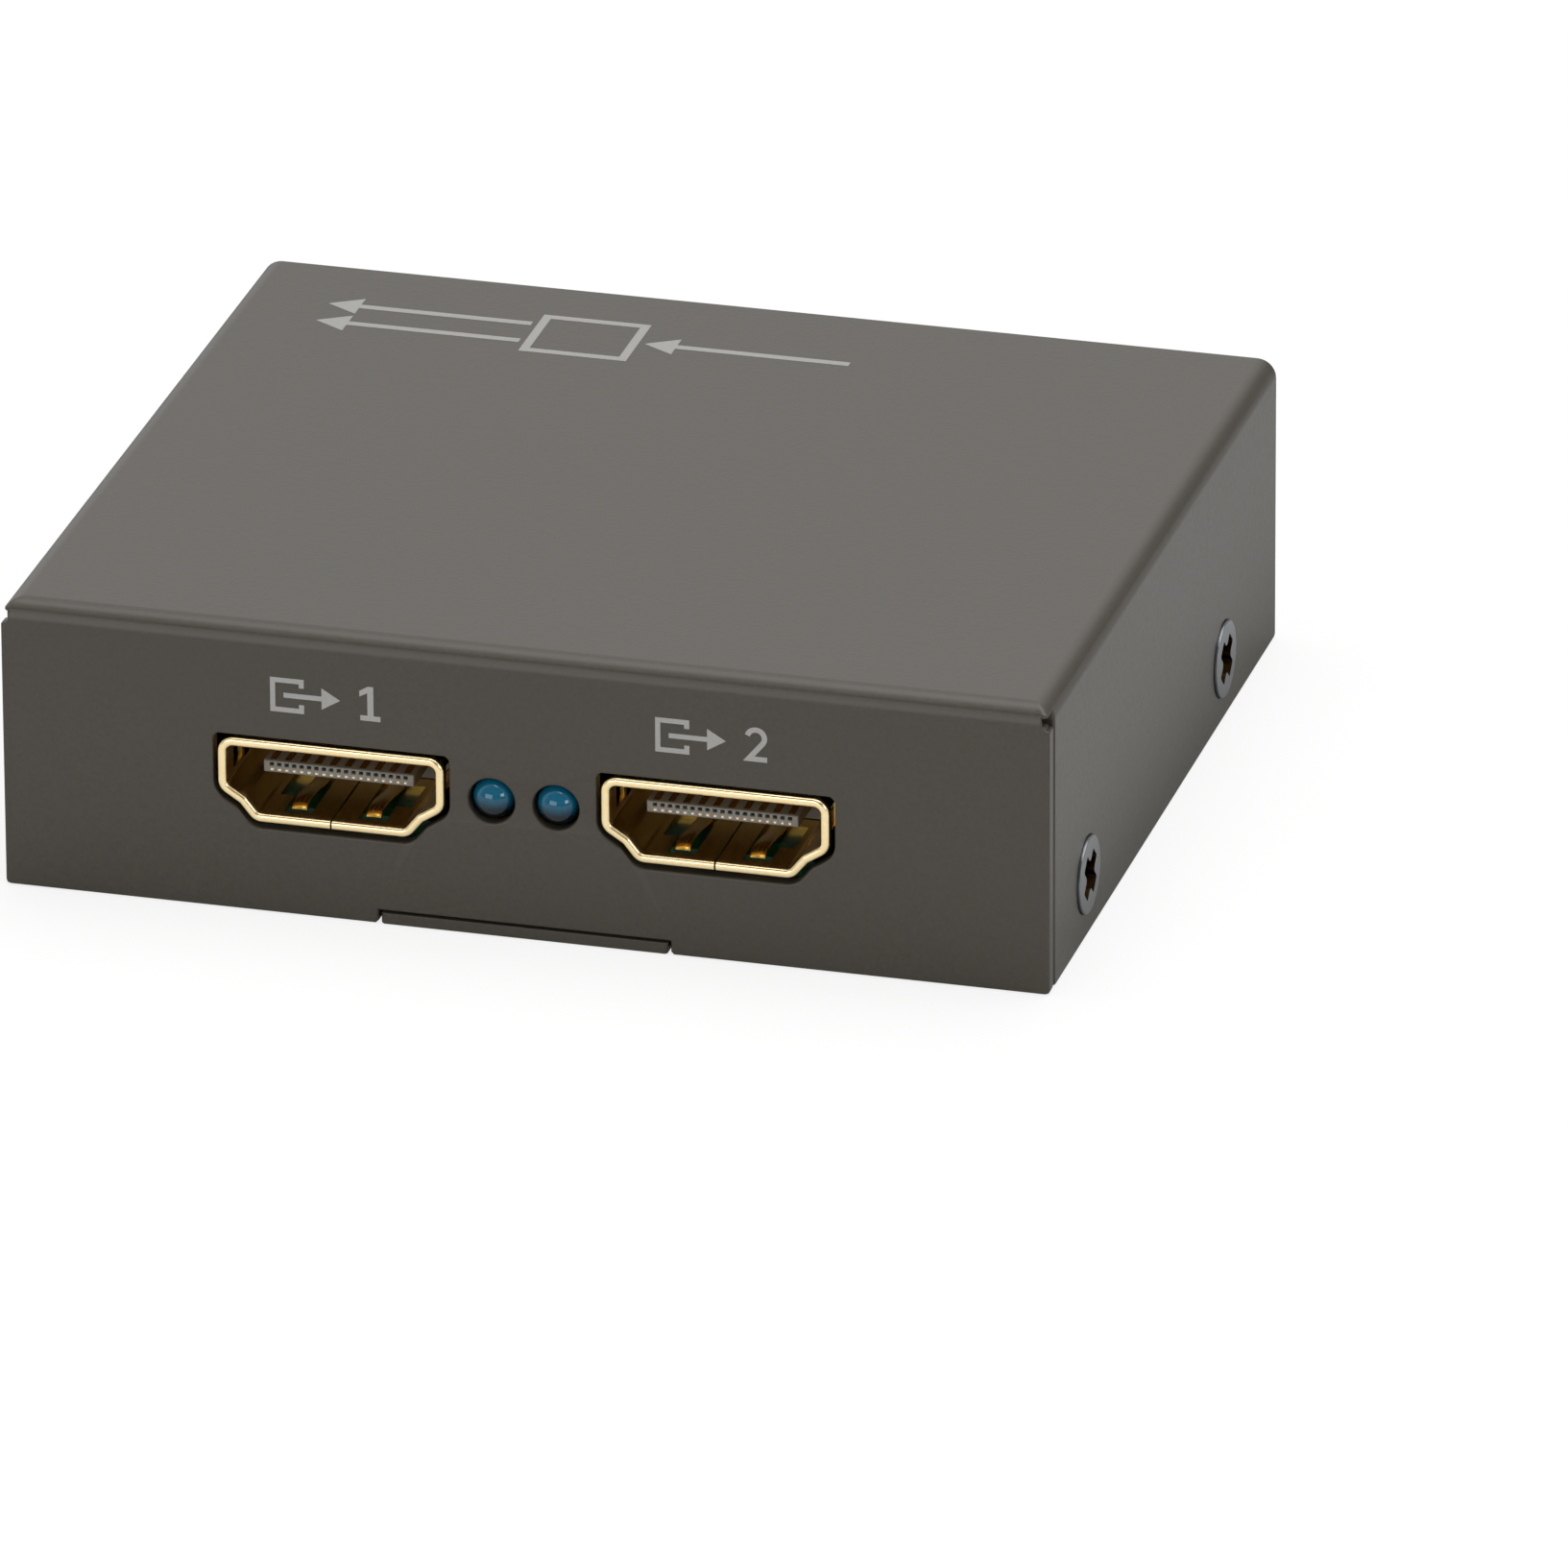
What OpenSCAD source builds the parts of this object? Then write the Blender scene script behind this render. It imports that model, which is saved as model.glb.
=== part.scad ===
// Video splitter, one input and two outputs, in a folded sheet-metal case.
// The origin is on the underside at the middle of the case. X runs along the front from left to right,
// the outputs face -Y, the input and the power inlet face +Y, and Z is up. All sizes are in millimetres.

/* [Case] */
// Width of the case, left to right
case_w = 70; // [68:1:90]
// Depth of the case, front to rear
case_d = 60; // [58:1:80]
// Height of the case
case_h = 20; // [19.5:0.5:26]
// Thickness of the cover's sheet
cover_t = 1; // [0.8:0.05:1.15]
// Thickness of the base's sheet
base_t = 0.8; // [0.6:0.05:1]
// Outer radius of the cover's bends
cover_bend_r = 1.3; // [1.2:0.05:1.8]
// Outer radius of the base's bends
base_bend_r = 1.2; // [1.1:0.05:1.6]
// Gap between the cover and the base that slides into it
case_gap = 0.2; // [0.1:0.05:0.3]
// Width of the slit between the cover's front and side flanges
corner_gap = 0.4; // [0.2:0.05:0.8]
// Diameter of the relief hole where three faces of the cover meet
relief_d = 1.2; // [0.8:0.1:1.6]
// Height of the base's side flanges
flange_h = 8; // [7.5:0.5:12]
// Length of the notch that parts the base's side flanges from its rear panel
flange_notch = 1.5; // [0.5:0.1:3]
// Width of the tab at the front of the base
tab_w = 19.2; // [12:0.4:24]
// Gap between the tab and the notch in the cover
tab_gap = 0.3; // [0.1:0.05:0.5]
// Size of the bevels on the corners of the tab and the notch
tab_bevel = 0.3; // [0.1:0.05:0.5]

/* [Case screws] */
// Thread diameter of the case screws
screw_d = 3; // [2.5:0.1:3.2]
// Head diameter of the case screws
screw_head_d = 5.2; // [5:0.1:5.6]
// Height of the head above the cover
screw_proud = 0.2; // [0.1:0.05:0.4]
// Length of a case screw from its tip to the top of its head
screw_l = 3.6; // [3.2:0.1:4.5]
// Distance of the front screws behind the front face
screw_setback = 9.8; // [8:0.2:14]
// Distance between the two screws of one side
screw_pitch = 36; // [28:0.5:38]
// Height of the case screws above the underside
screw_z = 4.3; // [4:0.1:5]
// Gap round the thread and under the head
screw_gap = 0.06; // [0.04:0.01:0.08]
// Gap round the thread in the cover
screw_hole_gap = 0.12; // [0.1:0.01:0.15]
// Bevel at the tip of the thread
screw_tip_bevel = 0.3; // [0.1:0.05:0.5]
// Outer diameter of the drawn collar that holds the thread
collar_d = 4.6; // [4.2:0.1:5.2]
// Length of the collar inside the base's flange
collar_l = 1.2; // [0.8:0.1:1.6]
// Span of the cross recess
recess_d = 2.9; // [2.4:0.1:3.2]
// Width of one arm of the cross recess
recess_w = 0.7; // [0.5:0.05:0.9]
// Depth of the cross recess
recess_depth = 1; // [0.6:0.1:1.2]

/* [Board] */
// Room between the board and the top of the cover, which the tallest part on the board needs
board_room = 12.35; // [12:0.05:13]
// Width of the posts across their flats
standoff_w = 5; // [4.6:0.1:6]
// Diameter of the posts' shank in the base
standoff_shank_d = 4.2; // [3.8:0.1:4.4]
// Thickness of the board
board_t = 1.6; // [1:0.1:1.8]
// Gap from the board's ends to the front and rear walls
board_end_gap = 1.2; // [0.8:0.1:2]
// Gap from the board's sides to the tips of the case screws
board_tip_gap = 0.6; // [0.3:0.1:1.5]
// Diameter of the board's mounting holes
board_hole_d = 3.2; // [3.1:0.05:3.6]
// Distance of the mounting holes from the board's edges
board_hole_inset = 3.5; // [3.2:0.1:5]
// Height of the board screws' tips above the underside
board_screw_tip = 1.65; // [0.8:0.05:2.4]
// Head diameter of the board screws
board_screw_head_d = 5.4; // [5:0.1:6]
// Head height of the board screws
board_screw_head_h = 1.9; // [1.5:0.1:2.4]
// Gap round a solder leg in its hole
leg_gap = 0.15; // [0.1:0.05:0.25]
// Length of solder leg below the board
leg_stub = 0.8; // [0.4:0.1:1.5]

/* [Sockets] */
// Width of a socket's opening
port_w = 14; // [13.8:0.05:14.2]
// Height of a socket's opening
port_h = 4.55; // [4.4:0.05:4.7]
// Height of the opening's upright sides
port_side_h = 2.7; // [2.5:0.05:2.8]
// Width of the opening at the knee of its sloping lower corners
port_knee_w = 11.5; // [11.2:0.1:12]
// Height of the knee above the opening's floor
port_knee_h = 1.05; // [0.9:0.05:1.2]
// Width of the opening's floor
port_floor_w = 9.8; // [9.6:0.1:10.4]
// Corner radius of the opening
port_corner_r = 0.45; // [0.3:0.05:0.6]
// Radius in the knee of the sloping lower corners
port_knee_r = 0.55; // [0.3:0.05:0.8]
// Distance between the middles of the two outputs
port_pitch = 25.7; // [24:0.1:30]
// Place of the input, measured to the right of the middle
input_x = 9; // [4:0.5:14]
// Thickness of a shell's sheet
shell_t = 0.3; // [0.2:0.05:0.35]
// Thickness of the rolled rim at a shell's mouth
rim_t = 0.62; // [0.5:0.02:0.7]
// Depth of the rolled rim
rim_l = 0.7; // [0.5:0.1:1]
// Height of the rim above the panel
rim_proud = 0.2; // [0:0.05:0.4]
// Depth of a shell
shell_l = 11.5; // [11:0.1:13]
// Gap between the rim and the cut-out in the panel
port_cut_gap = 0.3; // [0.2:0.05:0.5]
// Distance that the cut-out sits below the middle of the socket
port_cut_drop = 0.15; // [0:0.05:0.15]
// Width of the seam in the floor of a shell
seam_w = 0.12; // [0.08:0.02:0.2]
// Width of a shell's solder legs
shell_leg_w = 1; // [0.8:0.1:1.2]
// Distance of the front legs behind the mouth
shell_leg_front = 4.6; // [4.2:0.1:5.5]
// Distance between the front and rear legs
shell_leg_pitch = 5; // [4:0.1:5.5]
// Width of a spring finger
finger_w = 1.05; // [0.8:0.05:1.2]
// Distance of the floor fingers from the middle of the socket
finger_x = 2.5; // [2.2:0.05:2.8]
// Width of the slit beside a spring finger
finger_slit = 0.4; // [0.25:0.05:0.5]
// Distance of the fingers' tips behind the mouth
finger_setback = 1.3; // [1.2:0.1:1.8]
// Length of a spring finger
finger_l = 5.6; // [4.5:0.1:6]
// Height of a finger's crown above the wall
finger_rise = 0.5; // [0.3:0.05:0.6]
// Thickness of a spring finger
finger_t = 0.2; // [0.15:0.05:0.25]

/* [Socket inserts] */
// Width of the tongue
tongue_w = 10.1; // [9.9:0.05:10.4]
// Thickness of the tongue
tongue_t = 0.8; // [0.7:0.05:1]
// Height of the tongue's middle above the middle of the opening
tongue_rise = 0.3; // [0.1:0.05:0.4]
// Distance of the tongue's front edge behind the mouth
tongue_setback = 1.95; // [1.6:0.05:2.4]
// Depth of the block that carries the tongue
block_l = 2.4; // [2:0.1:3]
// Gap between the block and the shell
block_gap = 0.05; // [0.03:0.01:0.1]
// Room behind the block for the contacts' tails
tail_room = 0.9; // [0.6:0.1:1.2]
// Number of contacts in one socket
contact_n = 19; // [19]
// Distance between neighbouring contacts
contact_pitch = 0.5; // [0.48:0.01:0.52]
// Width of a contact on the tongue
contact_w = 0.4; // [0.3:0.02:0.44]
// Width of a contact's tail
tail_w = 0.28; // [0.2:0.02:0.3]
// Thickness of a contact
contact_t = 0.15; // [0.1:0.01:0.2]
// Length of a contact's foot on the board
contact_foot = 0.9; // [0.6:0.1:1.2]
// Gap between a contact and its groove
contact_gap = 0.03; // [0.02:0.01:0.04]

/* [Lamps] */
// Diameter of a lamp
led_d = 2.9; // [2.8:0.1:3.2]
// Diameter of a lamp's foot
led_foot_d = 3.8; // [3.6:0.1:4]
// Thickness of a lamp's foot
led_foot_t = 1; // [0.8:0.1:1.2]
// Length of a lamp from its foot to its tip
led_l = 4.5; // [4:0.1:6]
// Distance between the two lamps
led_pitch = 4.3; // [4.2:0.1:5]
// Place of the pair, measured to the right of the middle
led_x = 0.05; // [-0.3:0.05:0.3]
// Height of the lamps' middle above the board
led_rise = 2.85; // [2.5:0.05:4]
// Length of a lamp that shows in front of the cover
led_proud = 0.4; // [0.2:0.1:1.5]
// Gap between a lamp and its hole
led_gap = 0.1; // [0.1:0.02:0.2]
// Thickness of a lamp's square leads
lead_t = 0.5; // [0.4:0.05:0.55]
// Distance between the leads of one lamp
lead_pitch = 2.54; // [2.2:0.02:2.6]
// Distance from a lamp's foot to the drop of its leads
lead_reach = 1.6; // [1.2:0.1:2.5]

/* [Power inlet] */
// Place of the inlet, measured to the right of the middle
jack_x = -17; // [-19:0.5:-14]
// Width of the inlet's housing
jack_w = 9; // [8.8:0.1:9.5]
// Height of the inlet's housing
jack_h = 11; // [10.8:0.1:11.4]
// Depth of the inlet's housing
jack_l = 13; // [12.5:0.1:14]
// Height of the inlet's axis above the board
jack_rise = 6.5; // [6.4:0.05:6.7]
// Diameter of the round nose in the rear panel
jack_nose_d = 8.4; // [8:0.1:8.6]
// Gap between the nose and its hole, and between housing and panel
jack_gap = 0.2; // [0.1:0.05:0.25]
// Diameter of the plug's bore
jack_bore_d = 6; // [5.8:0.05:6.2]
// Depth of the plug's bore
jack_bore_l = 9.5; // [9:0.1:10]
// Diameter of the centre pin
jack_pin_d = 2; // [1.9:0.05:2.4]
// Diameter of the pin's root in the housing's rear wall
jack_root_d = 1.6; // [1.4:0.05:1.8]
// Distance of the pin's tip behind the mouth
jack_pin_setback = 1; // [0.6:0.1:2]
// Width of the slot for the spring below the bore
spring_slot_w = 2.8; // [2.6:0.1:3.2]
// Thickness of the plastic below that slot
spring_slot_floor = 0.6; // [0.5:0.1:0.8]
// Side gap between the spring and its slot
spring_gap = 0.2; // [0.15:0.05:0.3]
// Thickness of the spring and of the terminals
terminal_t = 0.3; // [0.25:0.05:0.4]
// Radius of the spring's rolled root
spring_root_r = 0.4; // [0.35:0.05:0.5]
// Gap between the rolled root and its saddle
spring_root_gap = 0.05; // [0.03:0.01:0.08]
// Distance of the root behind the mouth
spring_root_in = 4; // [3.8:0.1:4.4]
// Height of the root below the axis of the inlet
spring_root_drop = 4.2; // [4.1:0.05:4.4]
// Distance from the root to the spring's crown
spring_crown_in = 4; // [3.6:0.1:4.4]
// Height of the crown inside the bore
spring_crown_rise = 0.4; // [0.2:0.05:0.5]
// Distance from the root to the spring's free end
spring_l = 8.4; // [8:0.1:8.6]
// Height of the free end above the root
spring_end_rise = 0.3; // [0.1:0.05:0.35]
// Length of the flat at the spring's free end
spring_flat = 1.4; // [1.2:0.1:1.8]
// Gap between the free end and the switch contact at rest
switch_gap = 0.1; // [0.08:0.01:0.15]
// Length of the switch contact over the free end
switch_lap = 1; // [0.8:0.1:1.1]
// Gap from the free end to the switch contact's terminal
switch_setback = 0.4; // [0.3:0.05:0.5]
// Width of the inlet's solder legs
terminal_leg_w = 1.2; // [1:0.1:1.4]

/* [Circuit] */
// Width of the splitter chip
chip_w = 10; // [8:0.5:12]
// Height of the splitter chip
chip_h = 1.4; // [1:0.1:1.8]
// Number of leads on each side of the chip
chip_leads_n = 12; // [8:1:14]
// Distance between the chip's leads
chip_lead_pitch = 0.65; // [0.5:0.05:0.65]
// Width of a chip lead
chip_lead_w = 0.3; // [0.2:0.02:0.34]
// Thickness of a chip lead
chip_lead_t = 0.15; // [0.1:0.01:0.2]
// Reach of a chip lead beyond the chip
chip_lead_l = 1; // [0.8:0.1:1.4]
// Place of the chip to the right of the middle
chip_x = 3; // [1:0.5:5]
// Thickness of the thermal pad
pad_t = 0.3; // [0.2:0.05:0.5]
// Width of the heat sink
sink_w = 14; // [12:0.5:16]
// Thickness of the heat sink's floor
sink_floor = 1.5; // [1:0.1:2]
// Height of the heat sink's fins
sink_fin_h = 4; // [3:0.5:5]
// Number of fins
sink_fins = 6; // [4:1:7]
// Thickness of a fin
sink_fin_t = 0.9; // [0.7:0.1:1.1]
// Gap between neighbouring parts of one column on the board
part_gap = 2; // [1:0.1:3]
// Gap between the supply's regulator and coil and the ceramic capacitors beside them
supply_gap = 2.35; // [1:0.05:3]
// Gap between the round capacitors and the supply's regulator and coil
can_gap = 2.6; // [1:0.1:3]
// Distance of the crystal and the memory chip from the board's right edge
clock_inset = 11; // [7:0.5:13]
// Length, width and height of the regulator
regulator_size = [6.5, 3.5, 1.6]; // [1.2:0.1:7]
// Length, width and height of the coil
coil_size = [6, 6, 3]; // [2.5:0.1:7]
// Diameter of a round capacitor
can_d = 6.3; // [5:0.1:6.5]
// Height of a round capacitor
can_h = 5.8; // [5:0.1:7]
// Thickness of a round capacitor's square foot
can_foot = 0.8; // [0.5:0.1:1]
// Length, width and height of the fuse
fuse_size = [4.5, 3.2, 1.1]; // [1:0.1:4.6]
// Length, width and height of the crystal
crystal_size = [4.7, 11.4, 3.8]; // [3:0.1:12]
// Length, width and height of the memory chip
memory_size = [4.9, 3.9, 1.5]; // [1:0.1:5]
// Length, width and height of a surge array
array_size = [2.5, 1, 0.6]; // [0.5:0.1:3]
// Distance between the two surge arrays of one socket
array_pitch = 5; // [4:0.5:8]
// Distance of the surge arrays behind a socket
array_setback = 3; // [2.5:0.1:3.5]
// Length, width and height of a ceramic capacitor
ceramic_size = [0.8, 1.6, 0.8]; // [0.5:0.1:1.6]
// Distance between ceramic capacitors, and from them to the heat sink
ceramic_step = 2; // [1.8:0.1:2.2]
// Ceramic capacitors in one row
ceramic_n = 7; // [4:1:7]
// Length, width and height of a resistor
resistor_size = [0.8, 1.6, 0.5]; // [0.3:0.1:1.6]
// Distance between resistors
resistor_step = 2.4; // [1.5:0.1:2.6]
// Distance of the resistors in front of the heat sink
resistor_setback = 3; // [2.6:0.1:3.4]
// Number of resistors
resistor_n = 11; // [6:1:11]

/* [Hidden] */

// Cuts run this far past the faces that they open
past = 1;
// Least inner radius of a bend
bend_r_min = 0.1;
// Straight pieces in each quarter of a bend, and in each rounded corner of a socket
bend_steps = 5;
corner_steps = 4;
$fn = 48;

front_y = -case_d / 2;
rear_y = case_d / 2;
side_x = case_w / 2;
base_x = side_x - cover_t - case_gap;
base_front = front_y + cover_t + case_gap;
base_roof = case_h - cover_t - case_gap;
screw_ys = [front_y + screw_setback, front_y + screw_setback + screw_pitch];

board_top = case_h - cover_t - board_room;
board_bottom = board_top - board_t;
standoff_h = board_bottom - base_t;
board_screw_l = board_top - board_screw_tip;
board_x = side_x + screw_proud - screw_l - board_tip_gap;
board_front = front_y + cover_t + board_end_gap;
board_rear = rear_y - base_t - board_end_gap;
board_hole_ys = [board_front + board_hole_inset, board_rear - board_hole_inset];
board_holes = [for (x = [-1, 1], y = board_hole_ys) [x * (board_x - board_hole_inset), y]];

port_z = board_top + shell_t + port_h / 2;
port_floor = -port_h / 2;
port_xs = [-port_pitch / 2, port_pitch / 2];
mouth_front = front_y - rim_proud;
mouth_rear = rear_y + rim_proud;
block_back = shell_l - tail_room;
block_front = block_back - block_l;
shell_leg_ys = [shell_leg_front, shell_leg_front + shell_leg_pitch];
shell_leg_d = norm([shell_t, shell_leg_w]) + 2 * leg_gap;

led_z = board_top + led_rise;
led_xs = [led_x - led_pitch / 2, led_x + led_pitch / 2];
led_foot_y = front_y - led_proud + led_l;
lead_y = led_foot_y + lead_reach;
lead_hole_d = lead_t * sqrt(2) + 2 * leg_gap;

jack_z = board_top + jack_rise;
jack_face = rear_y - base_t - jack_gap;
jack_back = jack_face - jack_l;
jack_bore_floor = rear_y - jack_bore_l;
spring_root_y = rear_y - spring_root_in;
spring_root_z = jack_z - spring_root_drop;
spring_w = spring_slot_w - 2 * spring_gap;
spring_end_y = spring_root_y - spring_l;
switch_drop_y = spring_end_y - switch_setback;
terminal_hole_d = norm([terminal_leg_w, terminal_t]) + 2 * leg_gap;

ceramic_x = sink_w / 2 + ceramic_step;
supply_w = max(regulator_size[0], coil_size[0]);
supply_x = chip_x - ceramic_x - (ceramic_size[0] + supply_w) / 2 - supply_gap;
can_x = supply_x - (supply_w + can_d) / 2 - can_gap;
clock_x = board_x - clock_inset;
chip_top = board_top + chip_lead_t + chip_h;
sink_bottom = chip_top + pad_t;

// Direction of a vector, with length one
function unit(v) = v / norm(v);

// Outward normal of the edge from p to q, where the outline runs anticlockwise
function edge_normal(p, q) = unit([q[1] - p[1], p[0] - q[0]]);

// Outline with every edge moved outward by d
function grown(points, d) = [
    for (i = [0:len(points) - 1])
        let (n = len(points),
             a = edge_normal(points[(i + n - 1) % n], points[i]),
             b = edge_normal(points[i], points[(i + 1) % n]))
        points[i] + d * (a + b) / (1 + a * b)];

// Arc of radius r in the corner c between its neighbours p and q
function corner_arc(p, c, q, r) =
    let (u = unit(p - c),
         v = unit(q - c),
         half = acos(u * v) / 2,
         centre = c + unit(u + v) * r / sin(half),
         from = unit(c + u * r / tan(half) - centre),
         to = unit(c + v * r / tan(half) - centre),
         sweep = 180 - 2 * half)
    [for (i = [0:corner_steps])
        let (a = sweep * i / corner_steps)
        centre + r * (sin(sweep - a) * from + sin(a) * to) / sin(sweep)];

// Outline with an arc of its own radius in every corner
function rounded(points, radii) = [
    for (i = [0:len(points) - 1])
        let (n = len(points))
        each corner_arc(points[(i + n - 1) % n], points[i], points[(i + 1) % n], radii[i])];

// Part of a circle, from one angle to another
function arc(centre, r, from, to) = [
    for (i = [0:bend_steps])
        let (a = from + (to - from) * i / bend_steps)
        centre + r * [cos(a), sin(a)]];

// Corners of a socket's opening, anticlockwise from the upper right, grown by d
function port_corners(d) =
    let (top = port_h / 2,
         shoulder = top - port_side_h,
         knee = port_floor + port_knee_h)
    grown([
        [port_w / 2, top], [-port_w / 2, top],
        [-port_w / 2, shoulder], [-port_knee_w / 2, knee],
        [-port_floor_w / 2, port_floor], [port_floor_w / 2, port_floor],
        [port_knee_w / 2, knee], [port_w / 2, shoulder]], d);

// Outline of a socket grown by d, with its own radius in the two upper corners
function port_outline(d, top_r) =
    let (r = port_corner_r + max(d, 0), knee = port_knee_r)
    rounded(port_corners(d), [top_r, top_r, r, knee, r, r, knee, r]);

// Outline in X and Z, drawn out along Y
module along_y(outline, from, to) {
    translate([0, to, 0]) rotate([90, 0, 0]) linear_extrude(to - from) polygon(outline);
}

// Outline in Y and Z, drawn out along X
module along_x(outline, from, to) {
    translate([from, 0, 0]) rotate([90, 0, 90]) linear_extrude(to - from) polygon(outline);
}

// Box given by its lowest and highest corners
module box(low, high) {
    translate(low) cube(high - low);
}

// Places its children at a socket's mouth, with the tube running inward along +Y
module at_output(i) {
    translate([port_xs[i], mouth_front, port_z]) children();
}

module at_input() {
    translate([input_x, mouth_rear, port_z]) rotate([0, 0, 180]) children();
}

module at_ports() {
    at_output(0) children();
    at_output(1) children();
    at_input() children();
}

// Cross recess, cut downward from the top of a screw's head
module cross_recess() {
    for (a = [45, 135]) rotate([0, 0, a])
        box([-recess_d / 2, -recess_w / 2, -recess_depth], [recess_d / 2, recess_w / 2, past]);
}

// Block of the cover's outline, inset from the outside by t
module cover_block(t, bend_r, low, rear) {
    x = side_x - t;
    y = front_y + t;
    z = case_h - t;
    intersection() {
        along_y(concat([[-x, low], [x, low]],
                       arc([x - bend_r, z - bend_r], bend_r, 0, 90),
                       arc([bend_r - x, z - bend_r], bend_r, 90, 180)), front_y - past, rear);
        along_x(concat([[y, low], [rear, low], [rear, z]],
                       arc([y + bend_r, z - bend_r], bend_r, 90, 180)), -side_x - past, side_x + past);
    }
}

// Cut-out for a socket's rim in a panel that faces -Y at the mouth
module port_cut(depth) {
    translate([0, 0, -port_cut_drop])
        along_y(port_outline(rim_t + port_cut_gap, port_corner_r), -past, depth);
}

// Cover: top, front and both sides folded from one sheet, open below and at the rear
module top_cover() {
    cover_inner_r = max(cover_bend_r - cover_t, bend_r_min);
    notch_x = tab_w / 2 + tab_gap;
    notch_z = base_t + tab_gap / 2;
    color("#5d5a55") difference() {
        cover_block(0, cover_bend_r, 0, rear_y);
        cover_block(cover_t, cover_inner_r, -past, rear_y + past);
        for (i = [0, 1]) {
            at_output(i) port_cut(rim_proud + cover_t + past);
            translate([led_xs[i], front_y + cover_t + past, led_z])
                rotate([90, 0, 0]) cylinder(h = cover_t + 2 * past, d = led_d + 2 * led_gap);
        }
        along_y([[-notch_x - tab_bevel - past, -past], [notch_x + tab_bevel + past, -past],
                 [notch_x, tab_bevel], [notch_x, notch_z], [-notch_x, notch_z], [-notch_x, tab_bevel]],
                front_y - past, front_y + cover_t + past);
        for (side = [0, 1]) mirror([side, 0, 0]) {
            box([side_x - cover_t - past, front_y + cover_t, -past],
                [side_x + past, front_y + cover_t + corner_gap, case_h - cover_bend_r]);
            translate([side_x - relief_d / 2, front_y + relief_d / 2, case_h - cover_bend_r - relief_d / 2])
                rotate([90, 0, 45]) cylinder(h = 4 * relief_d, d = relief_d, center = true);
            for (y = screw_ys) translate([side_x, y, screw_z]) rotate([0, -90, 0]) {
                translate([0, 0, -past])
                    cylinder(h = screw_head_d / 2 + past,
                             r1 = screw_head_d / 2 + screw_gap + past, r2 = screw_gap);
                translate([0, 0, -past]) cylinder(h = cover_t + 2 * past, d = screw_d + 2 * screw_hole_gap);
            }
        }
    }
}

// Base: floor, side flanges with drawn collars, rear panel and front tab, folded from one sheet
module base_tray() {
    inner_r = max(base_bend_r - base_t, bend_r_min);
    side_end = rear_y - base_bend_r - flange_notch;
    color("#56534e") difference() {
        union() {
            along_y(concat([[-base_x, flange_h]],
                           arc([base_bend_r - base_x, base_bend_r], base_bend_r, 180, 270),
                           arc([base_x - base_bend_r, base_bend_r], base_bend_r, 270, 360),
                           [[base_x, flange_h], [base_x - base_t, flange_h]],
                           arc([base_x - base_t - inner_r, base_t + inner_r], inner_r, 0, -90),
                           arc([base_t + inner_r - base_x, base_t + inner_r], inner_r, -90, -180),
                           [[base_t - base_x, flange_h]]), base_front, side_end);
            along_x(concat([[side_end, 0]],
                           arc([rear_y - base_bend_r, base_bend_r], base_bend_r, 270, 360),
                           [[rear_y, base_roof], [rear_y - base_t, base_roof]],
                           arc([rear_y - base_t - inner_r, base_t + inner_r], inner_r, 0, -90),
                           [[side_end, base_t]]), -base_x, base_x);
            along_y([[-tab_w / 2, base_t], [-tab_w / 2, tab_bevel], [tab_bevel - tab_w / 2, 0],
                     [tab_w / 2 - tab_bevel, 0], [tab_w / 2, tab_bevel], [tab_w / 2, base_t]],
                    front_y, base_front + past);
            for (side = [0, 1], y = screw_ys) mirror([side, 0, 0])
                translate([base_x - base_t / 2, y, screw_z])
                    rotate([0, -90, 0]) cylinder(h = base_t / 2 + collar_l, d = collar_d);
        }
        for (side = [0, 1], y = screw_ys) mirror([side, 0, 0])
            translate([base_x + past, y, screw_z])
                rotate([0, -90, 0]) cylinder(h = base_t + collar_l + 2 * past, d = screw_d + 2 * screw_gap);
        for (p = board_holes)
            translate([p[0], p[1], -past])
                cylinder(h = base_t + 2 * past, d = standoff_shank_d + 2 * screw_gap);
        at_input() port_cut(rim_proud + base_t + past);
        translate([jack_x, rear_y + past, jack_z])
            rotate([90, 0, 0]) cylinder(h = base_t + 2 * past, d = jack_nose_d + 2 * jack_gap);
    }
}

// Countersunk screw, standing on its tip along Z
module case_screw() {
    screw_r = screw_d / 2;
    head_r = screw_head_d / 2;
    rim_z = screw_l - screw_proud;
    color("#8c8f92") difference() {
        rotate_extrude()
            polygon([[0, 0], [screw_r - screw_tip_bevel, 0], [screw_r, screw_tip_bevel],
                     [screw_r, rim_z - (head_r - screw_r)], [head_r, rim_z],
                     [head_r, screw_l], [0, screw_l]]);
        translate([0, 0, screw_l]) cross_recess();
    }
}

// A case screw in its hole; side is 0 for right and 1 for left, row is 0 for front and 1 for rear
module placed_case_screw(side, row) {
    mirror([side, 0, 0])
        translate([side_x + screw_proud - screw_l, screw_ys[row], screw_z]) rotate([0, 90, 0]) case_screw();
}

module case_screw_left_front() { placed_case_screw(1, 0); }
module case_screw_left_rear() { placed_case_screw(1, 1); }
module case_screw_right_front() { placed_case_screw(0, 0); }
module case_screw_right_rear() { placed_case_screw(0, 1); }

// Four six-sided posts, each with a shank pressed into the base and a thread right through
module board_standoffs() {
    color("#b9b6a8") for (p = board_holes) translate([p[0], p[1], 0]) difference() {
        union() {
            cylinder(h = base_t + standoff_h / 2, d = standoff_shank_d);
            translate([0, 0, base_t]) cylinder(h = standoff_h, d = standoff_w / cos(30), $fn = 6);
        }
        translate([0, 0, -past]) cylinder(h = board_bottom + 2 * past, d = screw_d + 2 * screw_gap);
    }
}

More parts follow.
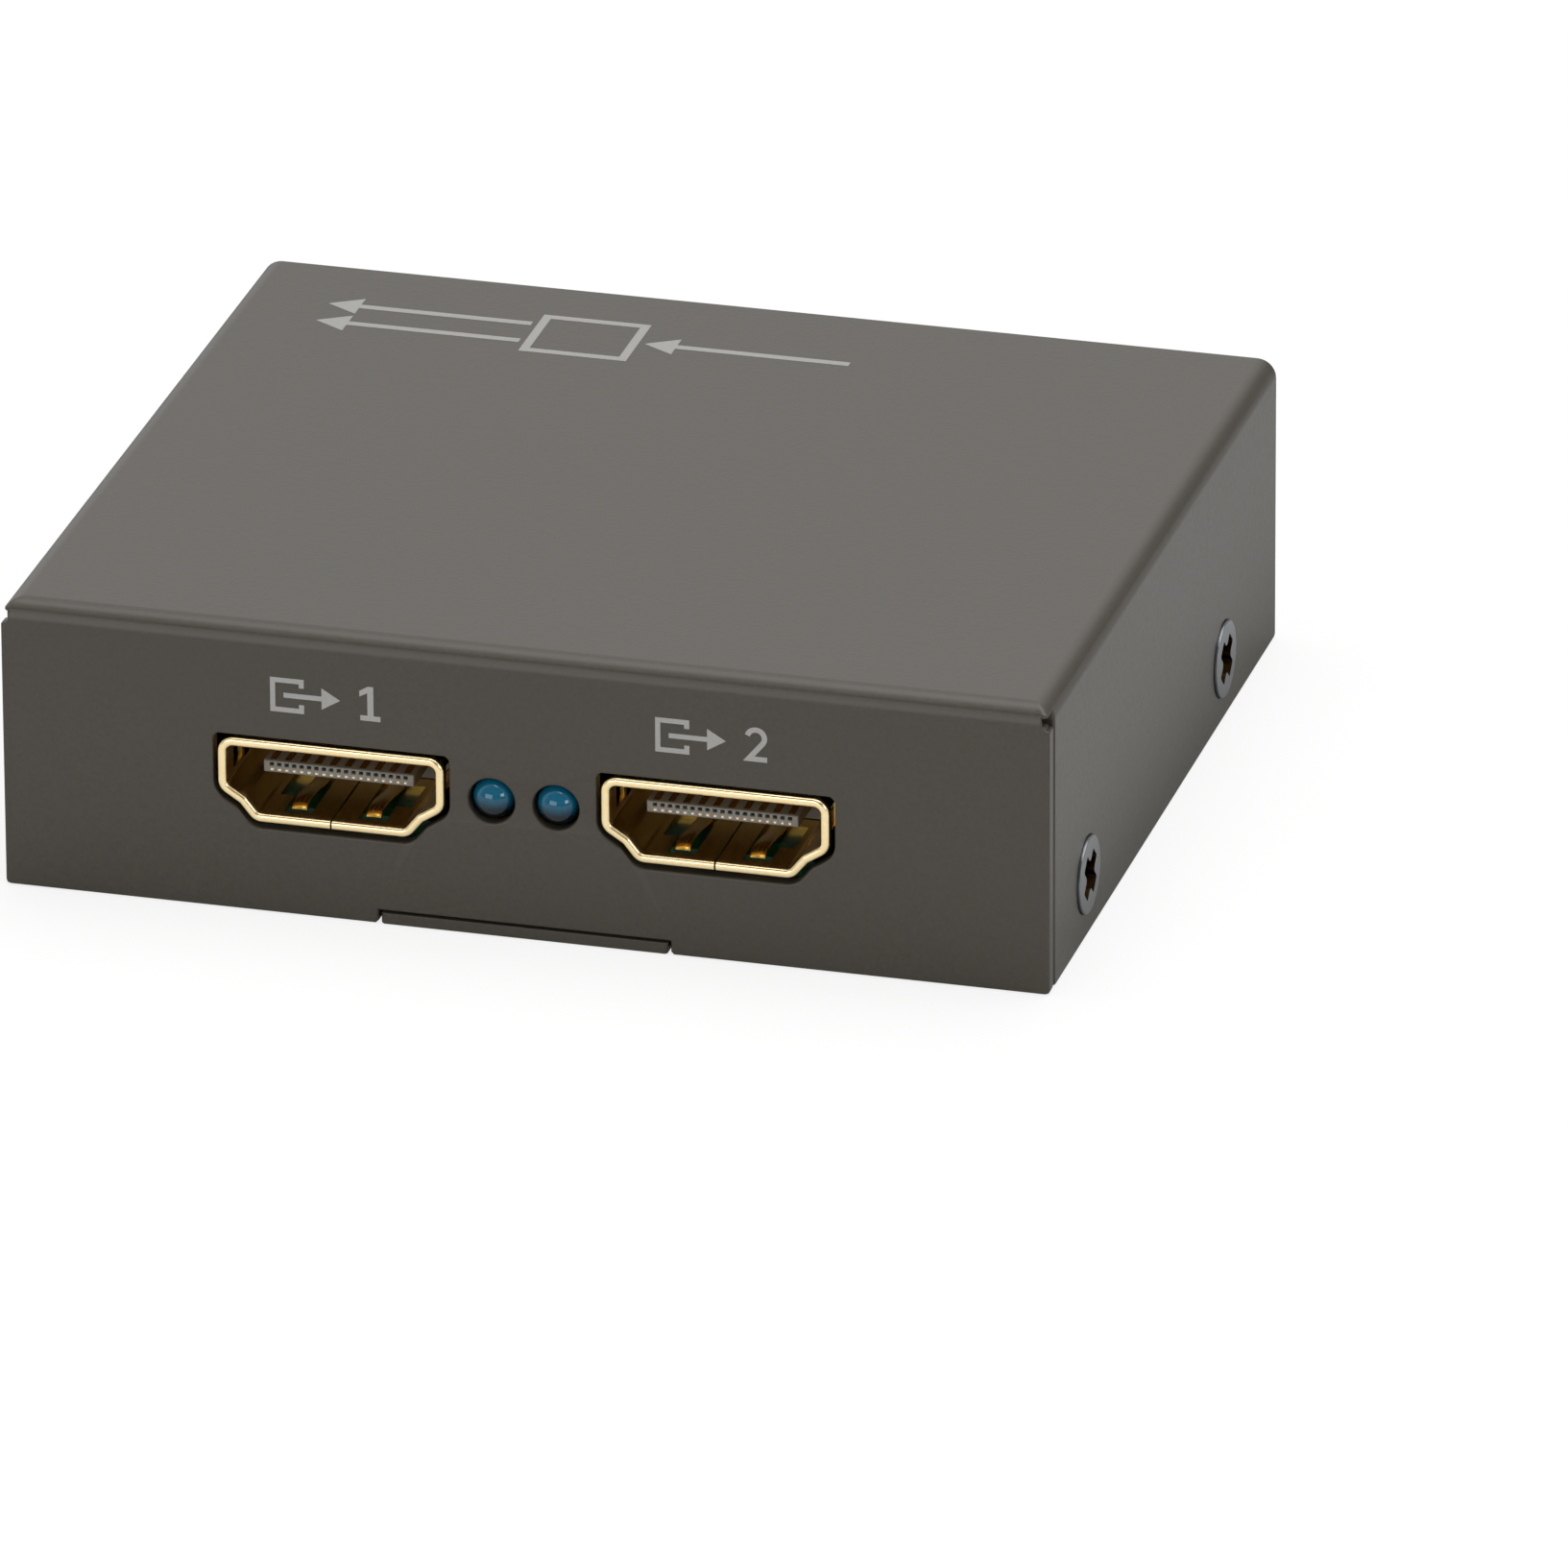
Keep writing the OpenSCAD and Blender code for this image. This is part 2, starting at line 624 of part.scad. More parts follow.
// Four screws with domed heads that hold the board on its posts
module board_screws() {
    head_r = board_screw_head_d / 2;
    dome_r = (pow(head_r, 2) + pow(board_screw_head_h, 2)) / (2 * board_screw_head_h);
    dome_from = asin((dome_r - board_screw_head_h) / dome_r);
    color("#8c8f92") for (p = board_holes) translate([p[0], p[1], board_top]) difference() {
        rotate_extrude()
            polygon(concat([[0, -board_screw_l], [screw_d / 2, -board_screw_l], [screw_d / 2, 0]],
                           [for (i = [0:bend_steps])
                               let (a = dome_from + (90 - dome_from) * i / bend_steps)
                               [dome_r * cos(a), dome_r * sin(a) - dome_r + board_screw_head_h]]));
        translate([0, 0, board_screw_head_h]) cross_recess();
    }
}

// Board with its mounting holes and the holes for every solder leg
module main_board() {
    color("#1f5a3a") difference() {
        box([-board_x, board_front, board_bottom], [board_x, board_rear, board_top]);
        for (p = board_holes) board_drill(p, board_hole_d);
        at_ports() for (x = [-1, 1], y = shell_leg_ys)
            translate([x * (port_w + shell_t) / 2, y, -port_z + board_bottom - past])
                cylinder(h = board_t + 2 * past, d = shell_leg_d);
        for (x = led_xs, side = [-1, 1]) board_drill([x + side * lead_pitch / 2, lead_y], lead_hole_d);
        for (y = [spring_root_y, switch_drop_y - terminal_t / 2, jack_back - terminal_t / 2])
            board_drill([jack_x, y], terminal_hole_d);
    }
}

module board_drill(p, d) {
    translate([p[0], p[1], board_bottom - past]) cylinder(h = board_t + 2 * past, d = d);
}

// Side view of a spring finger on a wall at height 0: its root, its crown and its turned-down tip
function finger_profile() =
    let (tip = finger_setback, root = finger_setback + finger_l, crown = finger_setback + finger_w)
    [[root + finger_slit, -finger_t], [root + finger_slit, 0], [root, 0],
     [crown, finger_rise], [tip + finger_t, finger_rise - finger_t],
     [tip, finger_rise - 2 * finger_t], [crown, finger_rise - finger_t], [root, -finger_t]];

// Stamped shell of a socket: rolled rim, tube with a seam, spring fingers and four solder legs
module port_shell() {
    root = finger_setback + finger_l;
    slot_w = finger_w / 2 + finger_slit;
    window_from = finger_x + finger_w / 2;
    leg_low = board_bottom - leg_stub - port_z;
    side_mid = port_h / 2 - port_side_h / 2;
    color("#d9b25a") {
        difference() {
            union() {
                along_y(port_outline(rim_t, port_corner_r + rim_t), 0, rim_l);
                along_y(port_outline(shell_t, port_corner_r + shell_t), rim_l / 2, shell_l);
                for (x = [-1, 1], y = shell_leg_ys)
                    translate([x * (port_w + shell_t) / 2, y, (leg_low + side_mid) / 2])
                        cube([shell_t, shell_leg_w, side_mid - leg_low], center = true);
            }
            along_y(port_outline(0, port_corner_r), -past, shell_l + past);
            for (side = [0, 1]) mirror([side, 0, 0]) {
                box([finger_x - slot_w, finger_setback - finger_slit, port_floor - past],
                    [finger_x + slot_w, root, port_floor + shell_t]);
                box([window_from, root / 2, port_floor - past],
                    [port_floor_w / 2, root, port_floor + shell_t]);
                box([port_w / 2 - shell_t, finger_setback + finger_slit, side_mid - slot_w],
                    [port_w / 2 + past, shell_leg_front - shell_leg_w, side_mid + slot_w]);
            }
            box([-seam_w / 2, -past, port_floor - past], [seam_w / 2, shell_l + past, 0]);
            box([-port_knee_w / 2, block_front + shell_t, port_floor - past],
                [port_knee_w / 2, shell_l + past, port_floor + past]);
        }
        for (side = [0, 1]) mirror([side, 0, 0])
            translate([finger_x - finger_w / 2, 0, port_floor]) along_x(finger_profile(), 0, finger_w);
    }
}

module output_1_shell() { at_output(0) port_shell(); }
module output_2_shell() { at_output(1) port_shell(); }
module input_shell() { at_input() port_shell(); }

// Place of contact i across the tongue
function contact_x(i) = (i - (contact_n - 1) / 2) * contact_pitch;

// Moulded insert: a block across the rear of the shell and a tongue with a groove for each contact
module port_insulator() {
    top = tongue_rise + tongue_t / 2;
    bottom = tongue_rise - tongue_t / 2;
    groove_w = contact_w / 2 + contact_gap;
    groove_t = contact_t + contact_gap;
    color("#a9a8a4") difference() {
        union() {
            along_y(port_outline(-block_gap, port_corner_r), block_front, block_back);
            box([-tongue_w / 2, tongue_setback, bottom], [tongue_w / 2, block_front + past, top]);
        }
        for (i = [0:contact_n - 1]) {
            x = contact_x(i);
            z = i % 2 == 0 ? top - groove_t : bottom - contact_gap;
            box([x - groove_w, tongue_setback - past, z],
                [x + groove_w, block_back + past, z + groove_t + contact_gap]);
        }
    }
}

module output_1_insulator() { at_output(0) port_insulator(); }
module output_2_insulator() { at_output(1) port_insulator(); }
module input_insulator() { at_input() port_insulator(); }

// Contacts of one socket: odd ones on top of the tongue, even ones below it, all with a foot on the board
module port_contacts() {
    tip = tongue_setback + contact_t;
    riser = block_back + contact_gap;
    foot_z = board_top - port_z;
    color("#c9a24a") for (i = [0:contact_n - 1]) {
        z = i % 2 == 0 ? tongue_rise + tongue_t / 2 - contact_t : tongue_rise - tongue_t / 2;
        translate([contact_x(i), 0, 0]) {
            box([-contact_w / 2, tip, z], [contact_w / 2, riser + contact_t, z + contact_t]);
            box([-tail_w / 2, riser, foot_z], [tail_w / 2, riser + contact_t, z + contact_t]);
            box([-tail_w / 2, riser, foot_z], [tail_w / 2, riser + contact_foot, foot_z + contact_t]);
        }
    }
}

module output_1_contacts() { at_output(0) port_contacts(); }
module output_2_contacts() { at_output(1) port_contacts(); }
module input_contacts() { at_input() port_contacts(); }

// Lamp: a foot, a round body and a domed tip that looks out of the front
module led(i) {
    led_r = led_d / 2;
    color("#1a6f97") translate([led_xs[i], led_foot_y, led_z]) rotate([90, 0, 0])
        rotate_extrude()
            polygon(concat([[0, 0], [led_foot_d / 2, 0], [led_foot_d / 2, led_foot_t], [led_r, led_foot_t]],
                           arc([0, led_l - led_r], led_r, 0, 90)));
}

// The two bent leads of a lamp, from its foot through the board
module led_leads(i) {
    low = board_bottom - leg_stub;
    color("#c4c4c0") for (side = [-1, 1]) translate([led_xs[i] + side * lead_pitch / 2, 0, 0]) {
        box([-lead_t / 2, led_foot_y, led_z - lead_t / 2],
            [lead_t / 2, lead_y + lead_t / 2, led_z + lead_t / 2]);
        box([-lead_t / 2, lead_y - lead_t / 2, low],
            [lead_t / 2, lead_y + lead_t / 2, led_z + lead_t / 2]);
    }
}

module output_1_led() { led(0); }
module output_2_led() { led(1); }
module output_1_led_leads() { led_leads(0); }
module output_2_led_leads() { led_leads(1); }

// Housing of the power inlet: a block on the board, its round nose in the rear panel, the plug's bore,
// and a slot below the bore for the spring
module power_jack_housing() {
    slot_x = spring_slot_w / 2;
    leg_x = terminal_leg_w / 2 + leg_gap;
    leg_y = terminal_t / 2 + leg_gap;
    color("#23221f") translate([jack_x, 0, 0]) difference() {
        union() {
            box([-jack_w / 2, jack_back, board_top], [jack_w / 2, jack_face, board_top + jack_h]);
            translate([0, rear_y, jack_z]) rotate([90, 0, 0])
                cylinder(h = rear_y - jack_face + past, d = jack_nose_d);
        }
        translate([0, rear_y + past, jack_z]) rotate([90, 0, 0])
            cylinder(h = jack_bore_l + past, d = jack_bore_d);
        translate([0, jack_face, jack_z]) rotate([90, 0, 0])
            cylinder(h = jack_l + past, d = jack_root_d + 2 * spring_root_gap);
        box([-slot_x, jack_back - past, board_top + spring_slot_floor],
            [slot_x, spring_root_y + 2 * spring_root_r, jack_z - jack_bore_d / 2 + spring_crown_rise]);
        for (y = [spring_root_y, switch_drop_y - terminal_t / 2])
            box([-leg_x, y - leg_y, board_top - past], [leg_x, y + leg_y, board_top + past]);
    }
}

// Centre pin with a rounded tip, a thinner root through the housing, and its terminal behind the housing
module power_jack_pin() {
    pin_r = jack_pin_d / 2;
    root_r = jack_root_d / 2;
    root_l = jack_bore_floor - jack_back + terminal_t;
    pin_l = root_l + jack_bore_l - jack_pin_setback;
    color("#c4c4c0") translate([jack_x, 0, 0]) {
        translate([0, jack_back - terminal_t, jack_z]) rotate([-90, 0, 0])
            rotate_extrude() polygon(concat([[0, 0], [root_r, 0], [root_r, root_l], [pin_r, root_l]],
                                            arc([0, pin_l - pin_r], pin_r, 0, 90)));
        box([-terminal_leg_w / 2, jack_back - terminal_t, board_bottom - leg_stub],
            [terminal_leg_w / 2, jack_back, jack_z]);
    }
}

// Leaf spring that presses on the plug: a rolled root, a crown inside the bore and a free end
module power_jack_spring() {
    crown_y = spring_root_y - spring_crown_in;
    crown_z = jack_z - jack_bore_d / 2 + spring_crown_rise;
    end_z = spring_root_z + spring_end_rise;
    color("#c4c4c0") translate([jack_x, 0, 0]) {
        along_x([[spring_root_y, spring_root_z], [crown_y, crown_z],
                 [spring_end_y + spring_flat, end_z], [spring_end_y, end_z],
                 [spring_end_y, end_z - terminal_t], [spring_end_y + spring_flat, end_z - terminal_t],
                 [crown_y, crown_z - terminal_t],
                 [spring_root_y, spring_root_z - terminal_t]], -spring_w / 2, spring_w / 2);
        translate([-spring_w / 2, spring_root_y, spring_root_z]) rotate([0, 90, 0])
            cylinder(h = spring_w, r = spring_root_r);
    }
}

// Terminal with a saddle that carries the spring's root
module power_jack_spring_terminal() {
    saddle_r = spring_root_r + spring_root_gap;
    saddle_low = board_top + spring_slot_floor;
    color("#c4c4c0") translate([jack_x, 0, 0]) difference() {
        union() {
            box([-terminal_leg_w / 2, spring_root_y - terminal_t / 2, board_bottom - leg_stub],
                [terminal_leg_w / 2, spring_root_y + terminal_t / 2, saddle_low + terminal_t]);
            box([-spring_w / 2, spring_root_y - saddle_r, saddle_low],
                [spring_w / 2, spring_root_y + saddle_r, spring_root_z - saddle_r / 2]);
        }
        translate([-spring_w, spring_root_y, spring_root_z]) rotate([0, 90, 0])
            cylinder(h = 2 * spring_w, r = saddle_r);
    }
}

// Switch contact above the spring's free end, with its terminal through the board
module power_jack_switch_contact() {
    low = spring_root_z + spring_end_rise + switch_gap;
    color("#c4c4c0") translate([jack_x, 0, 0]) {
        box([-spring_w / 2, switch_drop_y - terminal_t, low],
            [spring_w / 2, spring_end_y + switch_lap, low + terminal_t]);
        box([-terminal_leg_w / 2, switch_drop_y - terminal_t, board_bottom - leg_stub],
            [terminal_leg_w / 2, switch_drop_y, low + terminal_t]);
    }
}

// Small block that stands on the board, given by its middle and its size
module on_board(place, size) {
    translate([place[0], place[1], board_top + size[2] / 2]) cube(size, center = true);
}

// Splitter chip, a square package held just above the board by its leads
module splitter_chip() {
    color("#2a2a2c") translate([chip_x, 0, board_top + chip_lead_t + chip_h / 2])
        cube([chip_w, chip_w, chip_h], center = true);
}

// Leads of the splitter chip: flat feet beside the package, with a short riser against its flank
module splitter_chip_leads() {
    color("#c4c4c0") for (a = [0:90:270], i = [0:chip_leads_n - 1])
        translate([chip_x, 0, board_top]) rotate([0, 0, a])
            translate([chip_w / 2, (i - (chip_leads_n - 1) / 2) * chip_lead_pitch - chip_lead_w / 2, 0]) {
                cube([chip_lead_l, chip_lead_w, chip_lead_t]);
                cube([chip_lead_t, chip_lead_w, chip_lead_t + chip_h / 2]);
            }
}

// Soft pad between the chip and the heat sink
module thermal_pad() {
    color("#8fb3c9") translate([chip_x, 0, chip_top + pad_t / 2])
        cube([chip_w, chip_w, pad_t], center = true);
}

// Extruded heat sink with upright fins
module heat_sink() {
    fin_step = (sink_w - sink_fin_t) / (sink_fins - 1);
    color("#9fa3a6") translate([chip_x - sink_w / 2, -sink_w / 2, sink_bottom]) {
        cube([sink_w, sink_w, sink_floor]);
        for (i = [0:sink_fins - 1])
            translate([i * fin_step, 0, 0]) cube([sink_fin_t, sink_w, sink_floor + sink_fin_h]);
    }
}

// Regulator package of the supply
module voltage_regulator() {
    color("#2a2a2c") on_board([supply_x, -(part_gap + regulator_size[1]) / 2], regulator_size);
}

// Shielded coil of the supply
module power_inductor() {
    color("#4a4845") on_board([supply_x, (part_gap + coil_size[1]) / 2], coil_size);
}

// Two round capacitor cans on square feet
module bulk_capacitors() {
    color("#b5b8ba") for (side = [-1, 1]) {
        place = [can_x, side * (part_gap + can_d) / 2];
        on_board(place, [can_d, can_d, can_foot]);
        translate([place[0], place[1], board_top + can_foot / 2])
            cylinder(h = can_h - can_foot / 2, d = can_d);
    }
}

// Self-resetting fuse beside the power inlet
module power_fuse() {
    color("#5f6b3a") on_board([jack_x - (jack_w + fuse_size[0]) / 2 - part_gap, jack_back], fuse_size);
}

// Crystal in its metal can
module clock_crystal() {
    color("#c0c2c4") on_board([clock_x, -(part_gap + crystal_size[1]) / 2], crystal_size);
}

// Memory chip for the display data
module memory_chip() {
    color("#2a2a2c") on_board([clock_x, (part_gap + memory_size[1]) / 2], memory_size);
}

// Surge protection arrays, two behind each socket
module esd_arrays() {
    inward = shell_l + array_setback;
    color("#2a2a2c") for (side = [-1, 1]) {
        for (x = port_xs) on_board([x + side * array_pitch / 2, mouth_front + inward], array_size);
        on_board([input_x + side * array_pitch / 2, mouth_rear - inward], array_size);
    }
}

// Ceramic capacitors in a row on each side of the heat sink
module ceramic_capacitors() {
    color("#b08d5f") for (side = [-1, 1], i = [0:ceramic_n - 1])
        on_board([chip_x + side * ceramic_x, (i - (ceramic_n - 1) / 2) * ceramic_step], ceramic_size);
}

// Resistors in a row behind the outputs
module chip_resistors() {
    color("#33363a") for (i = [0:resistor_n - 1])
        on_board([(i - (resistor_n - 1) / 2) * resistor_step, -sink_w / 2 - resistor_setback],
                 resistor_size);
}

top_cover();
base_tray();
case_screw_left_front();
case_screw_left_rear();
case_screw_right_front();
case_screw_right_rear();
board_standoffs();
board_screws();
main_board();
output_1_shell();
output_1_insulator();
output_1_contacts();
output_2_shell();
output_2_insulator();
output_2_contacts();
input_shell();
input_insulator();
input_contacts();
output_1_led();
output_1_led_leads();
output_2_led();
output_2_led_leads();
power_jack_housing();
power_jack_pin();
power_jack_spring();
power_jack_spring_terminal();
power_jack_switch_contact();
splitter_chip();
splitter_chip_leads();
thermal_pad();
heat_sink();
voltage_regulator();
power_inductor();
bulk_capacitors();
power_fuse();
clock_crystal();
memory_chip();
esd_arrays();
ceramic_capacitors();
chip_resistors();
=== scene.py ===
import bmesh
import bpy
from math import cos, pi, radians, sin, tan
from mathutils import Matrix, Vector


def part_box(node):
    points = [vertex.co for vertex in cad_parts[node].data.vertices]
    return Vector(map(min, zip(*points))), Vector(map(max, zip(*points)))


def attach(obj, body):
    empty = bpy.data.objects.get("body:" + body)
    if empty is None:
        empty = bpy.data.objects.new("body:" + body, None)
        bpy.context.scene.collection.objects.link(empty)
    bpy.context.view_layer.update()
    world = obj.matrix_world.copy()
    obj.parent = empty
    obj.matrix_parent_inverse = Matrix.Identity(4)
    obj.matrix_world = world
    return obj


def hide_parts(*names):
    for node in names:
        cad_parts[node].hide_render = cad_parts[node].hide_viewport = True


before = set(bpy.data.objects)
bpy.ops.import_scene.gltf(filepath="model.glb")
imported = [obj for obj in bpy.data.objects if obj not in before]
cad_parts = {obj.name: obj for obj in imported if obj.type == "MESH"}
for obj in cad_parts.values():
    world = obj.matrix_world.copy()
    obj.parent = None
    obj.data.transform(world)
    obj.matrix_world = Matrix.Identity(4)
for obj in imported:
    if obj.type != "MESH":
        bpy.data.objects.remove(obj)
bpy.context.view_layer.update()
MM = 0.001
# Corners that stand closer than these become one, in metres.
JOIN, FINE_JOIN, INK_JOIN = 1e-6, 1e-7, 1e-8

# Base tray: the floor of the case with low side flanges, the rear panel, and the tab that shows at the front.
# It is folded from 0.8 mm steel sheet, with threaded collars drawn in its flanges for the case screws,
# and it is powder coated before anything is fixed to it.


def linear(code):
    """Linear colour of an sRGB hex code, with full alpha."""
    parts = [int(code[i:i + 2], 16) / 255 for i in (1, 3, 5)]
    return [c / 12.92 if c <= 0.04045 else ((c + 0.055) / 1.055) ** 2.4 for c in parts] + [1]


def feed(tree, node, sockets):
    """Fills inputs of a shader node by name, each with an output to link or a value to set."""
    for name, value in sockets.items():
        if isinstance(value, bpy.types.NodeSocket):
            tree.links.new(value, node.inputs[name])
        else:
            node.inputs[name].default_value = value


def add_node(tree, kind, sockets, **settings):
    """New shader node with its settings, and with its inputs filled."""
    node = tree.nodes.new("ShaderNode" + kind)
    for name, value in settings.items():
        setattr(node, name, value)
    feed(tree, node, sockets)
    return node


def place_on(tree):
    """Place of a point on the piece, in metres."""
    return add_node(tree, "TexCoord", {}).outputs["Object"]


def noise(tree, grain_mm, detail, stretch=None):
    """Cloudy value from 0 to 1 over a piece, in grains of about that size, which may be stretched."""
    place = place_on(tree)
    if stretch:
        place = add_node(tree, "Mapping", {"Vector": place, "Scale": stretch}).outputs["Vector"]
    cloud = add_node(tree, "TexNoise", {"Vector": place, "Scale": 1 / (grain_mm * MM), "Detail": detail})
    return cloud.outputs["Fac"]


def mix_colours(tree, share, first, second):
    """Colour between two others, each a hex code or the output of a node."""
    ends = [linear(c) if isinstance(c, str) else c for c in (first, second)]
    return add_node(tree, "Mix", {0: share, 6: ends[0], 7: ends[1]}, data_type="RGBA").outputs[2]


def spread(tree, value, low, high, start=0, end=1, **settings):
    """Value that runs from low to high while another runs from start to end."""
    sockets = {"Value": value, "From Min": start, "From Max": end, "To Min": low, "To Max": high}
    return add_node(tree, "MapRange", sockets, **settings).outputs["Result"]


def combine(tree, operation, *values):
    """Result of one step of arithmetic on numbers or outputs of nodes."""
    return add_node(tree, "Math", dict(enumerate(values)), operation=operation).outputs[0]


def new_material(name, **values):
    """Material with its node tree and its shader."""
    material = bpy.data.materials.new(name)
    material.use_nodes = True
    tree = material.node_tree
    shader = tree.nodes["Principled BSDF"]
    feed(tree, shader, {socket.replace("_", " "): value for socket, value in values.items()})
    return material, tree, shader


def mottled(name, dark, pale, grain_mm, detail, rough=None, stretch=None, **values):
    """Material whose colour varies between two codes, and whose roughness may vary over a range."""
    material, tree, shader = new_material(name, **values)
    grain = noise(tree, grain_mm, detail, stretch)
    feed(tree, shader, {"Base Color": mix_colours(tree, grain, dark, pale)})
    if rough:
        feed(tree, shader, {"Roughness": spread(tree, grain, *rough)})
    return material


def dress(material, *nodes):
    """Gives a material to parts of the frame."""
    for name in nodes:
        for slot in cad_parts[name].material_slots:
            slot.material = material


def show(name, data):
    """New object in the scene."""
    thing = bpy.data.objects.new(name, data)
    bpy.context.scene.collection.objects.link(thing)
    return thing


def add_piece(name, form, material, slot, *nodes, body="case", smooth=35, weight=50):
    """Object made from a mesh in the frame's own place, which rides on a body and stands for those nodes."""
    bmesh.ops.recalc_face_normals(form, faces=form.faces)
    mesh = bpy.data.meshes.new(name)
    form.to_mesh(mesh)
    form.free()
    mesh.polygons.foreach_set("use_smooth", [True] * len(mesh.polygons))
    mesh.set_sharp_from_angle(angle=radians(smooth))
    mesh.materials.append(material)
    piece = show(name, mesh)
    shading = piece.modifiers.new("Smooth faces", "WEIGHTED_NORMAL")
    shading.keep_sharp = True
    shading.weight = weight
    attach(piece, body)
    if nodes:
        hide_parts(*nodes)
    return piece


def quarter_turn(steps):
    """Angles from 0 to a quarter turn in equal steps."""
    return [pi / 2 * i / steps for i in range(steps + 1)]


def full_turn(steps):
    """Angles of a whole turn in equal steps, without the last."""
    return [2 * pi * i / steps for i in range(steps)]


def rounds(rows):
    """Rows of corners that each come back to their first corner, for stitch."""
    return [row + row[:1] for row in rows]


def add_corners(form, place, points):
    """New corners of a mesh, at points in the axes of place."""
    return [form.verts.new(place @ Vector(p)) for p in points]


def turned(form, profile, place, steps=64):
    """Adds a form turned about Z from (radius, height) points in mm; a radius of 0 closes an end."""
    rings = []
    for radius, height in profile:
        turns = full_turn(steps) if radius else [0]
        points = [(radius * cos(a), radius * sin(a), height) for a in turns]
        rings.append(add_corners(form, place, points))
    stitch(form, *rounds([ring if len(ring) > 1 else ring * steps for ring in rings]))
    return rings


def corner_arc(before, corner, after, radius, steps=6):
    """Points of the arc that rounds a corner between its two neighbours."""
    to_before, to_after = (before - corner).normalized(), (after - corner).normalized()
    half = to_before.angle(to_after) / 2
    centre = corner + (to_before + to_after).normalized() * radius / sin(half)
    first = corner + to_before * radius / tan(half) - centre
    last = corner + to_after * radius / tan(half) - centre
    sweep = pi - 2 * half
    turns = [sweep * i / steps for i in range(steps + 1)]
    return [centre + (sin(sweep - a) * first + sin(a) * last) / sin(sweep) for a in turns]


port_w_mm, port_h_mm, port_side_mm = 14, 4.55, 2.7
port_knee_mm, port_floor_mm = (11.5, 1.05), 9.8
port_corner_r_mm, port_knee_r_mm = 0.45, 0.55
port_floor_marks_mm, port_side_marks_mm = (0.06, 1.575, 3.425, 4.4), (0.05, 1.75)
port_lip_mm, port_cut_gap_mm, port_cut_drop_mm = 0.62, 0.3, 0.15


def port_loop(grow, top_r_mm):
    """Outline of a socket moved outward by grow, from the right of its seam round to the left, in mm."""
    top, low = port_h_mm / 2, -port_h_mm / 2
    right = [Vector(p) for p in ((port_floor_mm / 2, low), (port_knee_mm[0] / 2, low + port_knee_mm[1]),
                                 (port_w_mm / 2, top - port_side_mm), (port_w_mm / 2, top))]
    around = right + [Vector((-p.x, p.y)) for p in reversed(right)]
    moved = []
    for i, p in enumerate(around):
        into = (p - around[i - 1]).normalized()
        out = (around[(i + 1) % len(around)] - p).normalized()
        a, b = Vector((into.y, -into.x)), Vector((out.y, -out.x))
        moved.append(p + grow * (a + b) / (1 + a.dot(b)))
    loop = [Vector((x, low - grow)) for x in port_floor_marks_mm]
    for i, radius in enumerate((port_corner_r_mm + grow, port_knee_r_mm, port_corner_r_mm + grow, top_r_mm)):
        if i == 3:
            loop += [Vector((port_w_mm / 2 + grow, z)) for z in port_side_marks_mm]
        loop += corner_arc(moved[i - 1], moved[i], moved[i + 1], radius)
    return loop + [Vector((-p.x, p.y)) for p in reversed(loop)]


def cut_edge(form, rim, thick_mm, ease_mm, back_ease_mm=0.05):
    """Eased cut edge of a sheet along a loop of (front point, back point, normal) in mm.

    The loop runs anticlockwise as seen from the front. The two rows that come back are the corners where
    the edge runs out into the sheet's front and back."""
    sharpest = 0.3
    profile = [(ease_mm * (1 - sin(a)), ease_mm * (1 - cos(a))) for a in quarter_turn(3)]
    profile += [(back_ease_mm * (1 - cos(a)), thick_mm - back_ease_mm * (1 - sin(a)))
                for a in quarter_turn(3)]
    rows = [[] for step in profile]
    for i, (front, back, normal) in enumerate(rim):
        into = normal.cross((front - rim[i - 1][0]).normalized())
        out = normal.cross((rim[(i + 1) % len(rim)][0] - front).normalized())
        inward = (into + out) / max(1 + into.dot(out), sharpest)
        for row, (reach, depth) in zip(rows, profile):
            row.append(form.verts.new((front.lerp(back, depth / thick_mm) + reach * inward) * MM))
    stitch(form, *rounds(rows))
    return rows[0], rows[-1]


def round_rim(middle, normal, thick_mm, front_r, back_r=None, steps=48):
    """Rim of a round hole, for cut_edge; a second radius makes a countersink."""
    right = normal.orthogonal().normalized()
    up = right.cross(normal)
    spokes = [right * cos(a) + up * sin(a) for a in full_turn(steps)]
    back = middle - thick_mm * normal
    return [(middle + front_r * s, back + (back_r or front_r) * s, normal) for s in spokes]


def mirrored(rim):
    """Left half of a sheet's rim, from its right half."""
    mirror = Matrix.Diagonal((-1, 1, 1))
    return [tuple(mirror @ v for v in corner) for corner in rim]


def port_rim(middle, normal, thick_mm):
    """Rim of the cut-out for a socket in a wall with that normal, for cut_edge."""
    right = Vector((0, 0, 1)).cross(normal)
    loop = port_loop(port_lip_mm + port_cut_gap_mm, port_corner_r_mm)
    front = [middle + right * p.x + Vector((0, 0, p.y - port_cut_drop_mm)) for p in reversed(loop)]
    return [(p, p - thick_mm * normal, normal) for p in front]


def fill_face(form, normal, *loops):
    """Flat face between closed loops of corners: the first is its outline, and the others are its holes."""
    edges = []
    for corners in loops:
        loop = list(dict.fromkeys(corners))
        for i in range(len(loop)):
            edges.append(form.edges.get((loop[i - 1], loop[i])) or form.edges.new((loop[i - 1], loop[i])))
    bmesh.ops.triangle_fill(form, use_beauty=True, edges=edges, normal=normal)


def stitch(form, *rows):
    """Faces between neighbouring rows of corners of one length; a corner may come more than once."""
    for a, b in zip(rows, rows[1:]):
        for i in range(len(a) - 1):
            corners = list(dict.fromkeys((a[i], a[i + 1], b[i + 1], b[i])))
            if len(corners) > 2:
                form.faces.new(corners)


